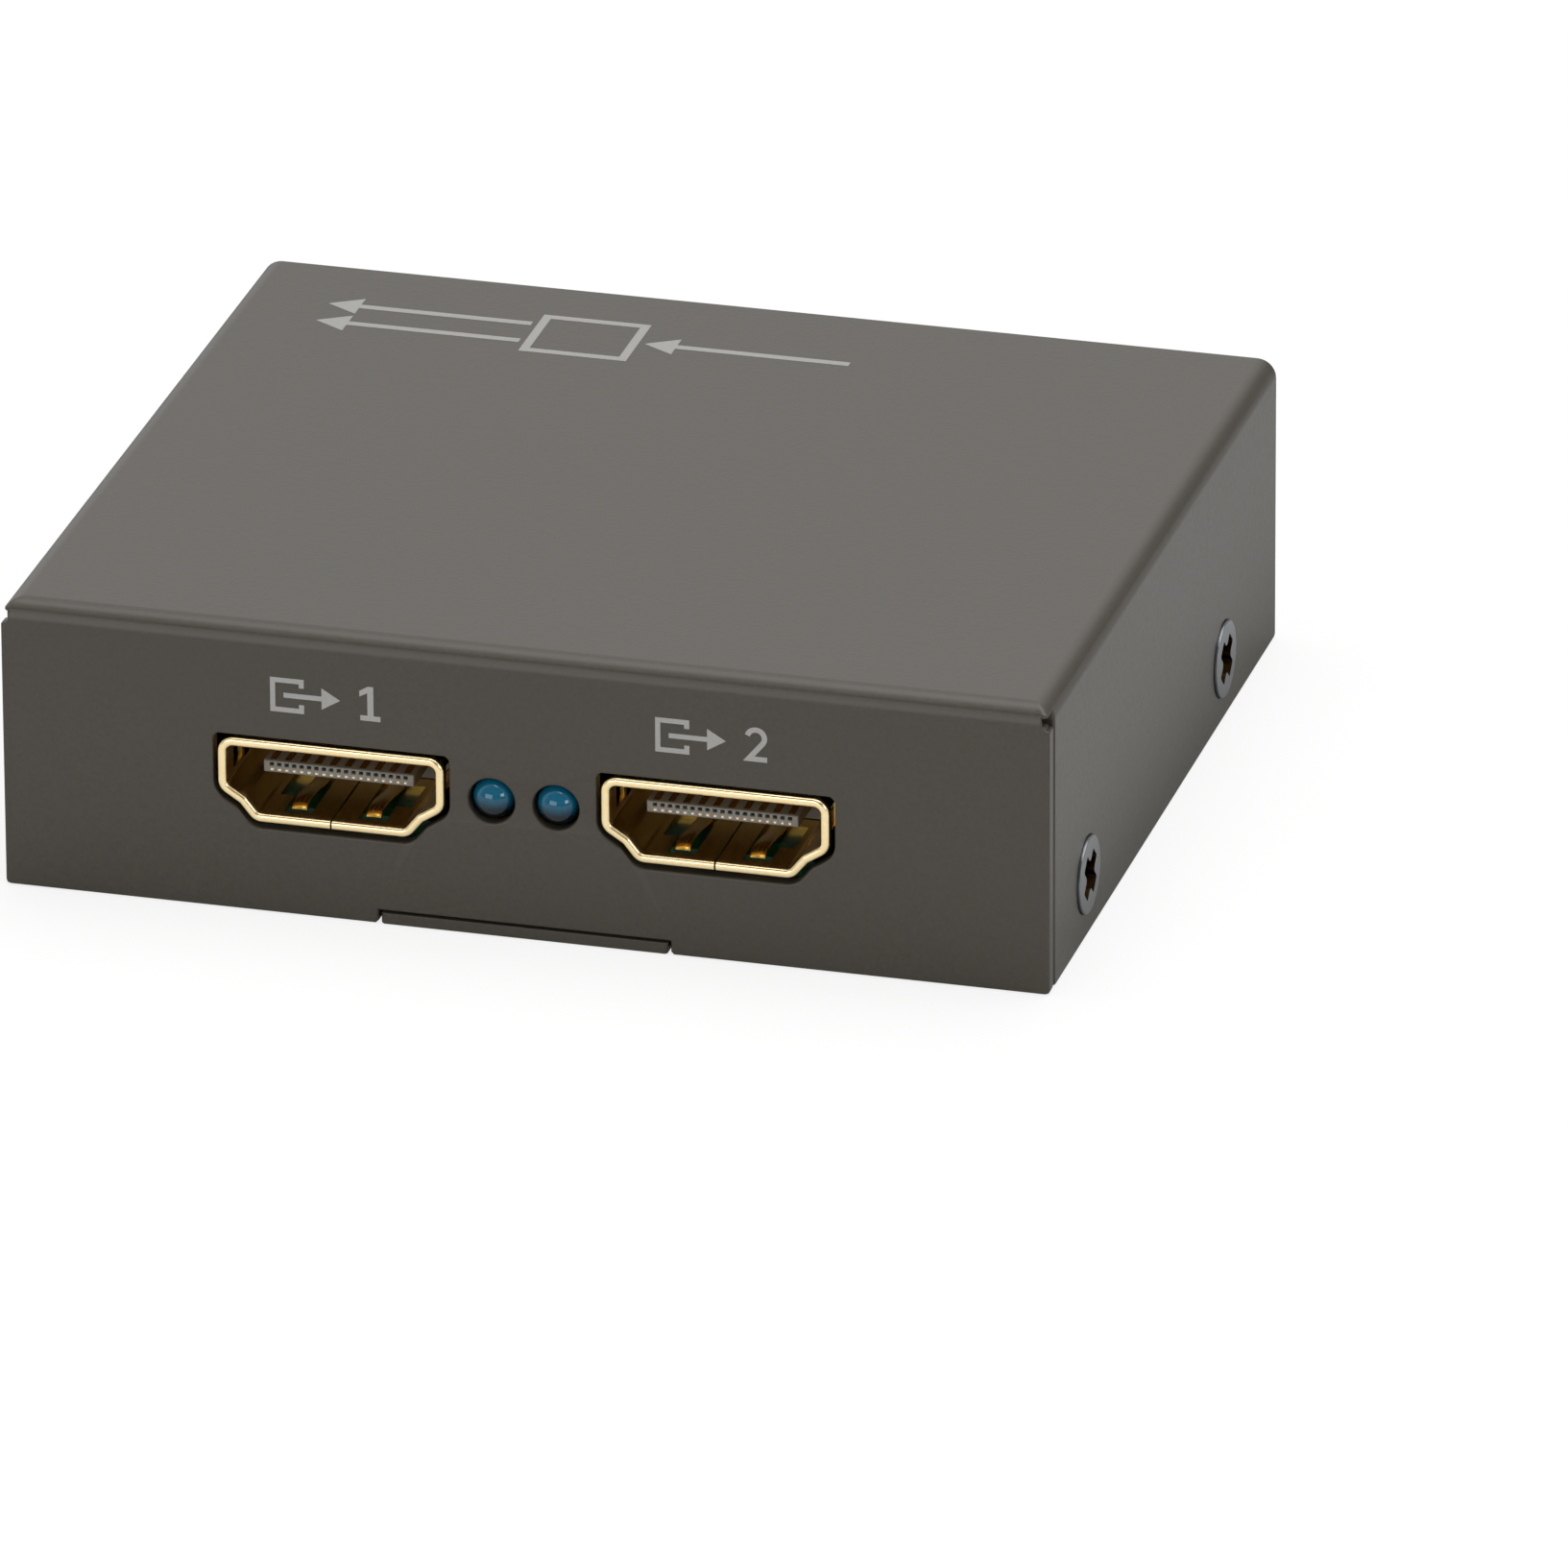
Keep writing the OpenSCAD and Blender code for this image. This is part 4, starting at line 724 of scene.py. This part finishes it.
def cover_mesh():
    """Cover as one folded sheet, with a slit and a relief hole where its front and its sides part."""
    form = bmesh.new()
    front, out, top = Vector((0, -1, 0)), Vector((1, 0, 0)), Vector((0, 0, 1))
    flat_x, flat_y = case_x_mm - cover_fold_mm, cover_fold_mm - case_y_mm
    knee_z = cover_top_mm - cover_fold_mm
    mitre_x = case_x_mm - mitre_r_mm
    inner_r = cover_fold_mm - cover_t_mm
    mitre_turns = quarter_turn(4)
    half = []

    def edge_point(point, normal, back=None):
        half.append((Vector(point), back or Vector(point) - cover_t_mm * normal, normal))

    def fold_corner(step, radius, small_r, a):
        reach, rise = sin(fold_turns[step]), cos(fold_turns[step])
        return Vector((flat_x + reach * (radius - small_r + small_r * sin(a)),
                       flat_y - reach * (radius - small_r + small_r * cos(a)), knee_z + radius * rise))

    foot_x, shelf_z = case_x_mm - foot_round_mm, knee_z - relief_mm
    for x, z in ((notch_x_mm, notch_z_mm), (notch_x_mm, notch_ease_mm), (notch_x_mm + notch_ease_mm, 0),
                 (foot_x, 0), (case_x_mm - foot_mid_mm, foot_mid_mm), (case_x_mm, foot_round_mm),
                 (case_x_mm, shelf_z - relief_ease_mm), (case_x_mm - relief_ease_mm, shelf_z),
                 (mitre_x + relief_round_mm, shelf_z), (mitre_x, shelf_z + relief_round_mm)):
        edge_point((x, -case_y_mm, z), front)
    last = len(fold_turns) - 1
    front_edge = len(half)
    for step in range(last, relief_step, -1):
        normal = Vector((0, -sin(fold_turns[step]), cos(fold_turns[step])))
        edge_point(fold_corner(step, cover_fold_mm, mitre_r_mm, 0), normal, fold_corner(step, inner_r, 0, 0))
    mitre = len(half)
    reach, rise = sin(fold_turns[relief_step]), cos(fold_turns[relief_step])
    inner_corner = fold_corner(relief_step, inner_r, 0, 0)
    for a in mitre_turns:
        normal = Vector((reach * sin(a), -reach * cos(a), rise))
        edge_point(fold_corner(relief_step, cover_fold_mm, mitre_r_mm, a), normal, inner_corner)
    side_edge = len(half)
    for turn in fold_turns[relief_step:]:
        normal = Vector((sin(turn), 0, cos(turn)))
        edge_point(Vector((flat_x, cover_slit_mm, knee_z)) + cover_fold_mm * normal, normal)
    slit = len(half) - 1
    for y, z in ((cover_slit_mm, foot_round_mm), (cover_slit_mm + foot_mid_mm, foot_mid_mm),
                 (cover_slit_mm + foot_round_mm, 0), (case_y_mm - foot_round_mm, 0),
                 (case_y_mm - foot_mid_mm, foot_mid_mm), (case_y_mm, foot_round_mm)):
        edge_point((case_x_mm, y, z), out)
    rear = len(half)
    for a in reversed(fold_turns):
        normal = Vector((sin(a), 0, cos(a)))
        edge_point(Vector((flat_x, case_y_mm, knee_z)) + cover_fold_mm * normal, normal)

    rim = half + mirrored(half)[::-1]
    holes = {"front": [], "left": [], "right": []}
    openings = [port_rim(Vector((x, -case_y_mm, port_z_mm)), front, cover_t_mm)
                for x in (-port_x_mm, port_x_mm)]
    openings += [round_rim(Vector((x, -case_y_mm, lamp_z_mm)), front, cover_t_mm, lamp_hole_r_mm)
                 for x in lamp_x_mm]
    for hole in openings:
        holes["front"].append(cut_edge(form, hole, cover_t_mm, cover_hole_ease_mm))
    for key, x in (("left", -1), ("right", 1)):
        for y in screw_y_mm:
            middle = Vector((x * case_x_mm, y, screw_z_mm))
            hole = round_rim(middle, x * out, cover_t_mm, sink_front_r_mm, sink_back_r_mm)
            holes[key].append(cut_edge(form, hole, cover_t_mm, sink_ease_mm))

    for face, row in enumerate(cut_edge(form, rim, cover_t_mm, cover_ease_mm)):
        ends = (row[len(half):][::-1], row[:len(half)])
        fold_r = (cover_fold_mm, cover_fold_mm - cover_t_mm)[face]
        small_r = (mitre_r_mm, 0)[face]
        rows = []
        for step in range(relief_step + 1):
            columns = []
            for x, edge in zip((-1, 1), ends):
                column = edge[mitre:side_edge + 1]
                if step < relief_step:
                    reach, rise = sin(fold_turns[step]), cos(fold_turns[step])
                    places = [fold_corner(step, fold_r, small_r, a) for a in mitre_turns]
                    places.append(Vector((flat_x + fold_r * reach, cover_slit_mm, knee_z + fold_r * rise)))
                    column = []
                    for i, p in enumerate(places):
                        same = i and (p - places[i - 1]).length < same_mm
                        flipped = Vector((x * p.x, p.y, p.z)) * MM
                        column.append(column[-1] if same else form.verts.new(flipped))
                columns.append(column + [edge[-1 - step]])
            rows.append(columns[0][::-1] + columns[1])
        stitch(form, *rows)
        stitch(form, *[[edge[mitre - step] for edge in ends] for step in range(last - relief_step + 1)])
        for edge in ends:
            stitch(form, *[[edge[side_edge + step], edge[-1 - relief_step - step]]
                           for step in range(last - relief_step + 1)])
        wall = ends[0][front_edge::-1] + ends[1][:front_edge + 1]
        sides = [edge[slit:rear + 1] for edge in ends]
        for key, normal, outline in (("front", front, wall), ("top", top, rows[0]), ("left", -out, sides[0]),
                                     ("right", out, sides[1])):
            fill_face(form, normal, outline, *[hole[face] for hole in holes.get(key, [])])
    bmesh.ops.remove_doubles(form, verts=form.verts, dist=JOIN)
    return form


add_piece("cover_sheet", cover_mesh(), paint, "case_paint", "top_cover", weight=100)

# Print on the cover and on the rear panel: pale ink, screened on after painting.
# Each output has an arrow that leaves a box and a numeral, the input has an arrow that enters a box,
# the inlet has the sign of direct current, and the top has a plain diagram of one line that becomes two.
ink = mottled("screen_ink", "#92918e", "#a4a3a0", grain_mm=0.15, detail=2, Roughness=0.5)


def ink_patch(form, place, outline):
    """Adds a film of ink in the XY plane of place, from its outline in mm."""
    low, high = [add_corners(form, place, [(x, y, z) for x, y in outline]) for z in (0, ink_t_mm)]
    form.faces.new(low)
    form.faces.new(high)
    stitch(form, *rounds([low, high]))


def ink_line(form, place, points, width_mm, closed=False):
    """Adds a line of ink along points in mm, with mitred corners."""
    points = [Vector(p) for p in points]
    sides = []
    for i, p in enumerate(points):
        before = points[i - 1] if i or closed else p + p - points[1]
        after = points[(i + 1) % len(points)] if i < len(points) - 1 or closed else p + p - points[i - 1]
        a, b = (p - before).normalized(), (after - p).normalized()
        across = Vector((-a.y - b.y, a.x + b.x)) / (1 + a.dot(b)) * width_mm / 2
        sides.append((p + across, p - across))
    if closed:
        sides.append(sides[0])
    rows = []
    for a, b in sides:
        corners = ((a, 0), (a, ink_t_mm), (b, ink_t_mm), (b, 0), (a, 0))
        rows.append(add_corners(form, place, [(p.x, p.y, z) for p, z in corners]))
    stitch(form, *rows)
    if not closed:
        form.faces.new(rows[0][:4])
        form.faces.new(rows[-1][:4])
    bmesh.ops.remove_doubles(form, verts=form.verts, dist=INK_JOIN)


def ink_arrow(form, place, start, end, width_mm, head_mm):
    """Adds an arrow of ink from one point to another in mm."""
    a, b = Vector(start), Vector(end)
    along = (b - a).normalized()
    across = Vector((-along.y, along.x))
    neck, half, wing = b - along * head_mm, across * width_mm / 2, across * head_mm * arrow_wing
    ink_patch(form, place, [a - half, neck - half, neck - wing, b, neck + wing, neck + half, a + half])


def ink_port(form, place, height_mm, enters):
    """Adds the sign of a socket: a box that is open to the right, and an arrow that leaves or enters it."""
    edge, high = sign_line_mm / 2, height_mm - sign_line_mm / 2
    box = [(sign_box_mm, high * sign_jamb), (sign_box_mm, high), (edge, high), (edge, edge),
           (sign_box_mm, edge), (sign_box_mm, height_mm - high * sign_jamb)]
    ink_line(form, place, box, sign_line_mm)
    ends = [(x, height_mm / 2) for x in sign_arrow_mm]
    ink_arrow(form, place, *(reversed(ends) if enters else ends), sign_line_mm, sign_head_mm)


def ink_numeral(form, place, figure, height_mm):
    """Adds the numeral 1 or 2, with its lower left corner at the origin of place."""
    if figure == 1:
        outline = ((0.06, 0), (0.62, 0), (0.62, 0.15), (0.43, 0.15), (0.43, 1), (0.28, 1), (0.04, 0.86),
                   (0.04, 0.69), (0.26, 0.81), (0.26, 0.15), (0.06, 0.15))
        ink_patch(form, place, [(x * height_mm, y * height_mm) for x, y in outline])
    else:
        bowl_x, bowl_y, bowl_r, stroke = 0.33, 0.685, 0.24, 0.15
        turns = [radians(165 - 200 * i / 16) for i in range(17)]
        points = [(bowl_x + bowl_r * cos(a), bowl_y + bowl_r * sin(a)) for a in turns]
        points += [(0.13, stroke / 2), (0.64, stroke / 2)]
        ink_line(form, place, [(x * height_mm, y * height_mm) for x, y in points], stroke * height_mm)


sign_line_mm, sign_box_mm, sign_jamb = 0.34, 2.1, 0.8
sign_arrow_mm, sign_head_mm, arrow_wing = (0.9, 4.7), 1.25, 0.6
label_z_mm, label_h_mm, label_w_mm, numeral_x_mm = 14.25, 2.4, 7.5, 5.9
for figure, x in ((1, -13.1), (2, 12.65)):
    start = Vector((x - label_w_mm / 2, -case_y_mm, label_z_mm))
    wall = Matrix.Scale(MM, 4) @ Matrix.Translation(start) @ Matrix.Rotation(pi / 2, 4, "X")
    form = bmesh.new()
    ink_port(form, wall, label_h_mm, enters=False)
    ink_numeral(form, wall @ Matrix.Translation((numeral_x_mm, 0, 0)), figure, label_h_mm)
    add_piece("output_%d_label" % figure, form, ink, "case_paint")

behind = Matrix.Scale(MM, 4) @ Matrix.Rotation(pi, 4, "Z") @ Matrix.Rotation(pi / 2, 4, "X")
input_sign_x_mm, direct_x_mm, direct_line_mm = -input_x_mm - 2.4, 6 - jack_x_mm, 0.4
dash_l_mm, dash_step_mm, dash_rise_mm = 0.8, 1.2, 0.9
form = bmesh.new()
ink_port(form, behind @ Matrix.Translation((input_sign_x_mm, label_z_mm, case_y_mm)), label_h_mm, enters=True)
direct = behind @ Matrix.Translation((direct_x_mm, jack_z_mm, case_y_mm))
ink_line(form, direct, [(0, dash_rise_mm), (2 * dash_step_mm + dash_l_mm, dash_rise_mm)], direct_line_mm)
for i in range(3):
    ink_line(form, direct, [(dash_step_mm * i, 0), (dash_step_mm * i + dash_l_mm, 0)], direct_line_mm)
add_piece("rear_labels", form, ink, "case_paint")

form = bmesh.new()
diagram_x_mm, diagram_y_mm = -10.4, 22
flat = Matrix.Scale(MM, 4) @ Matrix.Translation((diagram_x_mm, diagram_y_mm, cover_top_mm))
box_x_mm, box_y_mm, reach_mm, fork_mm, line_mm, gap_mm, head_mm = 3.4, 2.9, 18.2, 1.5, 0.62, 0.7, 2.2
box = [(box_x_mm, -box_y_mm), (box_x_mm, box_y_mm), (-box_x_mm, box_y_mm), (-box_x_mm, -box_y_mm)]
ink_line(form, flat, box, line_mm, closed=True)
ink_arrow(form, flat, (reach_mm, 0), (box_x_mm + gap_mm, 0), line_mm, head_mm)
for y in (-fork_mm, fork_mm):
    ink_arrow(form, flat, (-box_x_mm - gap_mm, y), (-reach_mm, y), line_mm, head_mm)
add_piece("top_diagram", form, ink, "case_paint")

# Case screws: four flat-head machine screws with a cross recess that hold the cover to the base's flanges.
# They are rolled and headed from wire, so the head's rim is rounded, and they are nickel plated.
# The recess is painted near black, brown in places: painted shade in the hollow of the recess.
screw_r_mm, screw_root_r_mm, screw_pitch_mm, head_r_mm, head_rim_mm = 1.5, 1.22, 0.5, 2.6, 0.2
thread_fade_mm, thread_tip_mm, tip_height, ridge_slope, ridge_root = 0.3, 0.15, 0.4, 1.6, 0.2
head_ease_mm, head_round_mm = 0.05, 0.08
recess_span_mm, recess_arm_mm, recess_depth_mm, recess_taper = 3.3, 1.2, 1.3, 0.7
recess_round_mm, recess_flank_mm, recess_corner_mm = 0.12, 0.3, 0.1
recess_shaded_nickel, tree, shader = new_material("nickel_plated_screw", Metallic=1)
scuff = noise(tree, tool_mark_mm, detail=4)
inside = add_node(tree, "Attribute", {}, attribute_name="recess").outputs["Fac"]
nickel = mix_colours(tree, scuff, "#75787b", "#8b8e91")
# Painted shade: the recess's faces take a near-black colour in place of the nickel.
painted_recess_shade = mix_colours(tree, scuff, "#050403", "#2e1e0d")
feed(tree, shader, {"Base Color": mix_colours(tree, inside, nickel, painted_recess_shade),
                    "Roughness": spread(tree, scuff, 0.22, 0.42)})


def thread_radius(z, turn, cone_mm):
    """Radius of the thread at a height and a share of a turn, which fades out at both ends."""
    at_tip = z < thread_tip_mm
    run_out = min(1, z / thread_fade_mm, max(0, (cone_mm - z) / thread_fade_mm))
    share = (z / screw_pitch_mm - turn) % 1
    ridge = min(1, max(0, ridge_slope * (1 - abs(2 * share - 1)) - ridge_root))
    root = screw_root_r_mm if at_tip else screw_root_r_mm + (screw_r_mm - screw_root_r_mm) * (1 - run_out)
    return root + (screw_r_mm - root) * ridge * (tip_height if at_tip else 1)


def case_screw(name, place, length_mm):
    """Screw that stands on its tip at the origin of place, along its Z."""
    form = bmesh.new()
    recess = form.faces.layers.float.new("recess")
    steps, levels = 48, 40
    cone_mm = length_mm - head_rim_mm - (head_r_mm - screw_r_mm)
    rings = []
    for z in (cone_mm * i / levels for i in range(levels + 1)):
        points = []
        for i, a in enumerate(full_turn(steps)):
            radius = thread_radius(z, i / steps, cone_mm)
            points.append((radius * cos(a), radius * sin(a), z))
        rings.append(add_corners(form, place, points))
    form.faces.new(rings[0])
    rim = length_mm - head_rim_mm
    head = [(head_r_mm - head_ease_mm, rim - head_ease_mm), (head_r_mm, rim)]
    head += [(head_r_mm - head_round_mm * (1 - cos(a)), length_mm - head_round_mm * (1 - sin(a)))
             for a in quarter_turn(4)]
    top = turned(form, head, place, steps)
    stitch(form, *rounds(rings + top[:1]))
    arm, span = recess_arm_mm / 2, recess_span_mm / 2
    cross = []
    for quarter in range(4):
        spin = Matrix.Rotation(pi / 4 + quarter * pi / 2, 2)
        points = ((span - recess_round_mm, -arm), (span, recess_round_mm - arm),
                  (span, arm - recess_round_mm), (span - recess_round_mm, arm), (arm + recess_flank_mm, arm),
                  (arm + recess_corner_mm, arm + recess_corner_mm), (arm, arm + recess_flank_mm))
        cross += [spin @ Vector(p) for p in points]
    mouth = add_corners(form, place, [(p.x, p.y, length_mm) for p in cross])
    low = length_mm - recess_depth_mm
    floor = add_corners(form, place, [(p.x * recess_taper, p.y * recess_taper, low) for p in cross])
    walls = [form.faces.new((mouth[i - 1], mouth[i], floor[i], floor[i - 1])) for i in range(len(cross))]
    for face in walls + [form.faces.new(floor)]:
        face[recess] = 1
    edges = [form.edges.get((loop[i - 1], loop[i])) for loop in (top[-1], mouth) for i in range(len(loop))]
    bmesh.ops.triangle_fill(form, use_beauty=True, edges=edges)
    add_piece(name + "_threaded", form, recess_shaded_nickel, "plated_steel", name, body=name, smooth=40)


for corner in ("left_front", "left_rear", "right_front", "right_rear"):
    name = "case_screw_" + corner
    low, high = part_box(name)
    leftward = high.x < 0
    tip = Vector((high.x if leftward else low.x, (low.y + high.y) / 2, (low.z + high.z) / 2))
    lie = Matrix.Rotation(-pi / 2 if leftward else pi / 2, 4, "Y")
    case_screw(name, Matrix.Translation(tip) @ lie @ Matrix.Scale(MM, 4), (high.x - low.x) / MM)

# Studio: a pale floor that keeps the shadow, a white surround, and soft lamps above and on both sides.
# The floor and the surround are white to the camera. In reflections the floor is dark beside and behind the
# case, but for a bright strip at its right, and the surround is dim in front and round one place at the back.
# The floor lies a little below the case, so that the two don't share a plane, and is clear from below.
floor_half, floor_z = 2, -0.05 * MM
floor_corners = [(x * floor_half, y * floor_half, floor_z) for x, y in ((-1, -1), (1, -1), (1, 1), (-1, 1))]
floor_mesh = bpy.data.meshes.new("studio_floor")
floor_mesh.from_pydata(floor_corners, [], [(0, 1, 2, 3)])
floor = show("studio_floor", floor_mesh)
floor_white, floor_front, floor_dark, floor_strip = 1.06, 0.95, 0.1, 0.75
strip_start, strip_end, front_end = (0.036, 0.044), (0.05, 0.065), (-0.05, -0.02)
glow_seen, glow_reflected = 0.75, 0.5
paper, tree, shader = new_material("white_paper", Roughness=0.9, Base_Color=linear("#efefee"),
                                   Specular_IOR_Level=0)
rays = add_node(tree, "LightPath", {}).outputs
glossy = rays["Is Glossy Ray"]
shown = combine(tree, "MAXIMUM", combine(tree, "MAXIMUM", rays["Is Camera Ray"], glossy),
                rays["Is Transmission Ray"])
share = combine(tree, "MULTIPLY", shown, spread(tree, glossy, glow_seen, glow_reflected))
ground = add_node(tree, "NewGeometry", {}).outputs
spot = add_node(tree, "SeparateXYZ", {"Vector": ground["Position"]}).outputs
near = spread(tree, spot["X"], floor_dark, floor_strip, *strip_start)
side = spread(tree, spot["X"], near, floor_dark, *strip_end)
flag = spread(tree, spot["Y"], floor_front, side, *front_end)
power = add_node(tree, "Mix", {0: glossy, 2: floor_white, 3: flag}).outputs[0]
white = add_node(tree, "Emission", {"Color": (1, 1, 1, 1), "Strength": power}).outputs[0]
both = add_node(tree, "MixShader", {0: share, 1: shader.outputs[0], 2: white}).outputs[0]
clear = add_node(tree, "BsdfTransparent", {}).outputs[0]
sided = add_node(tree, "MixShader", {0: ground["Backfacing"], 1: both, 2: clear}).outputs[0]
feed(tree, tree.nodes["Material Output"], {"Surface": sided})
floor_mesh.materials.append(paper)

world = bpy.data.worlds.new("studio")
bpy.context.scene.world = world
world.use_nodes = True
tree = world.node_tree
room_light, room_front, room_back, dusk_light = 0.38, 0.25, 1.05, 0.25
dusk_way, dusk_edge, dusk_core = Vector((0.45, 0.88, 0.02)).normalized(), radians(36), radians(12)
rays = add_node(tree, "LightPath", {}).outputs
view = add_node(tree, "TexCoord", {}).outputs["Generated"]
shown = combine(tree, "MAXIMUM", rays["Is Camera Ray"], rays["Is Transmission Ray"])
ahead = add_node(tree, "SeparateXYZ", {"Vector": view}).outputs["Y"]
room = spread(tree, ahead, room_front, room_back, -0.55, -0.1, interpolation_type="SMOOTHSTEP")
aim = add_node(tree, "VectorMath", {0: view, 1: dusk_way}, operation="DOT_PRODUCT").outputs["Value"]
dusk = spread(tree, aim, 1, dusk_light, cos(dusk_edge), cos(dusk_core),
              interpolation_type="SMOOTHSTEP")
mixed = add_node(tree, "Mix", {0: rays["Is Glossy Ray"], 2: spread(tree, shown, room_light, 1),
                               3: combine(tree, "MULTIPLY", room, dusk)})
feed(tree, tree.nodes["Background"], {"Strength": mixed.outputs[0], "Color": (1, 1, 1, 1)})

for name, spot, wide, high, watts in (("softbox_above", (0.1, 0.15, 1.1), 1.1, 1.1, 9.5),
                                      ("softbox_left", (-0.43, -1.15, 0.27), 0.85, 0.45, 3.4),
                                      ("softbox_right", (0.96, -0.76, 0.43), 0.42, 0.32, 2.4)):
    lamp = bpy.data.lights.new(name, "AREA")
    lamp.shape = "RECTANGLE"
    lamp.size = wide
    lamp.size_y = high
    lamp.energy = watts
    softbox = show(name, lamp)
    softbox.location = spot
    softbox.rotation_euler = (-Vector(spot)).to_track_quat("-Z", "Y").to_euler()

# Camera: a long lens from above the front right corner, set from the photograph's own lines.
azimuth, elevation, roll = radians(15.779), radians(23.492), radians(-0.481)
distance, aim_z = 1.35568, 6.855 * MM
image_px, focal_px, centre_px = 1633, 21500.74, (675.12, 689.96)
level = cos(elevation)
back = Vector((sin(azimuth) * level, -cos(azimuth) * level, sin(elevation)))
right = back.cross(Vector((0, 0, -1))).normalized()
upward = back.cross(right)
tilted = cos(roll) * right + sin(roll) * upward
lens = bpy.data.cameras.new("camera")
lens.sensor_width = 36
lens.lens = focal_px / image_px * lens.sensor_width
lens.shift_x = 0.5 - centre_px[0] / image_px
lens.shift_y = centre_px[1] / image_px - 0.5
lens.clip_start, lens.clip_end = 0.05, 20
camera = show("camera", lens)
axes = Matrix((tilted, back.cross(tilted), back)).transposed()
camera.matrix_world = Matrix.Translation(Vector((0, 0, aim_z)) + back * distance) @ axes.to_4x4()
bpy.context.scene.camera = camera
bpy.context.scene.view_settings.view_transform = "Standard"
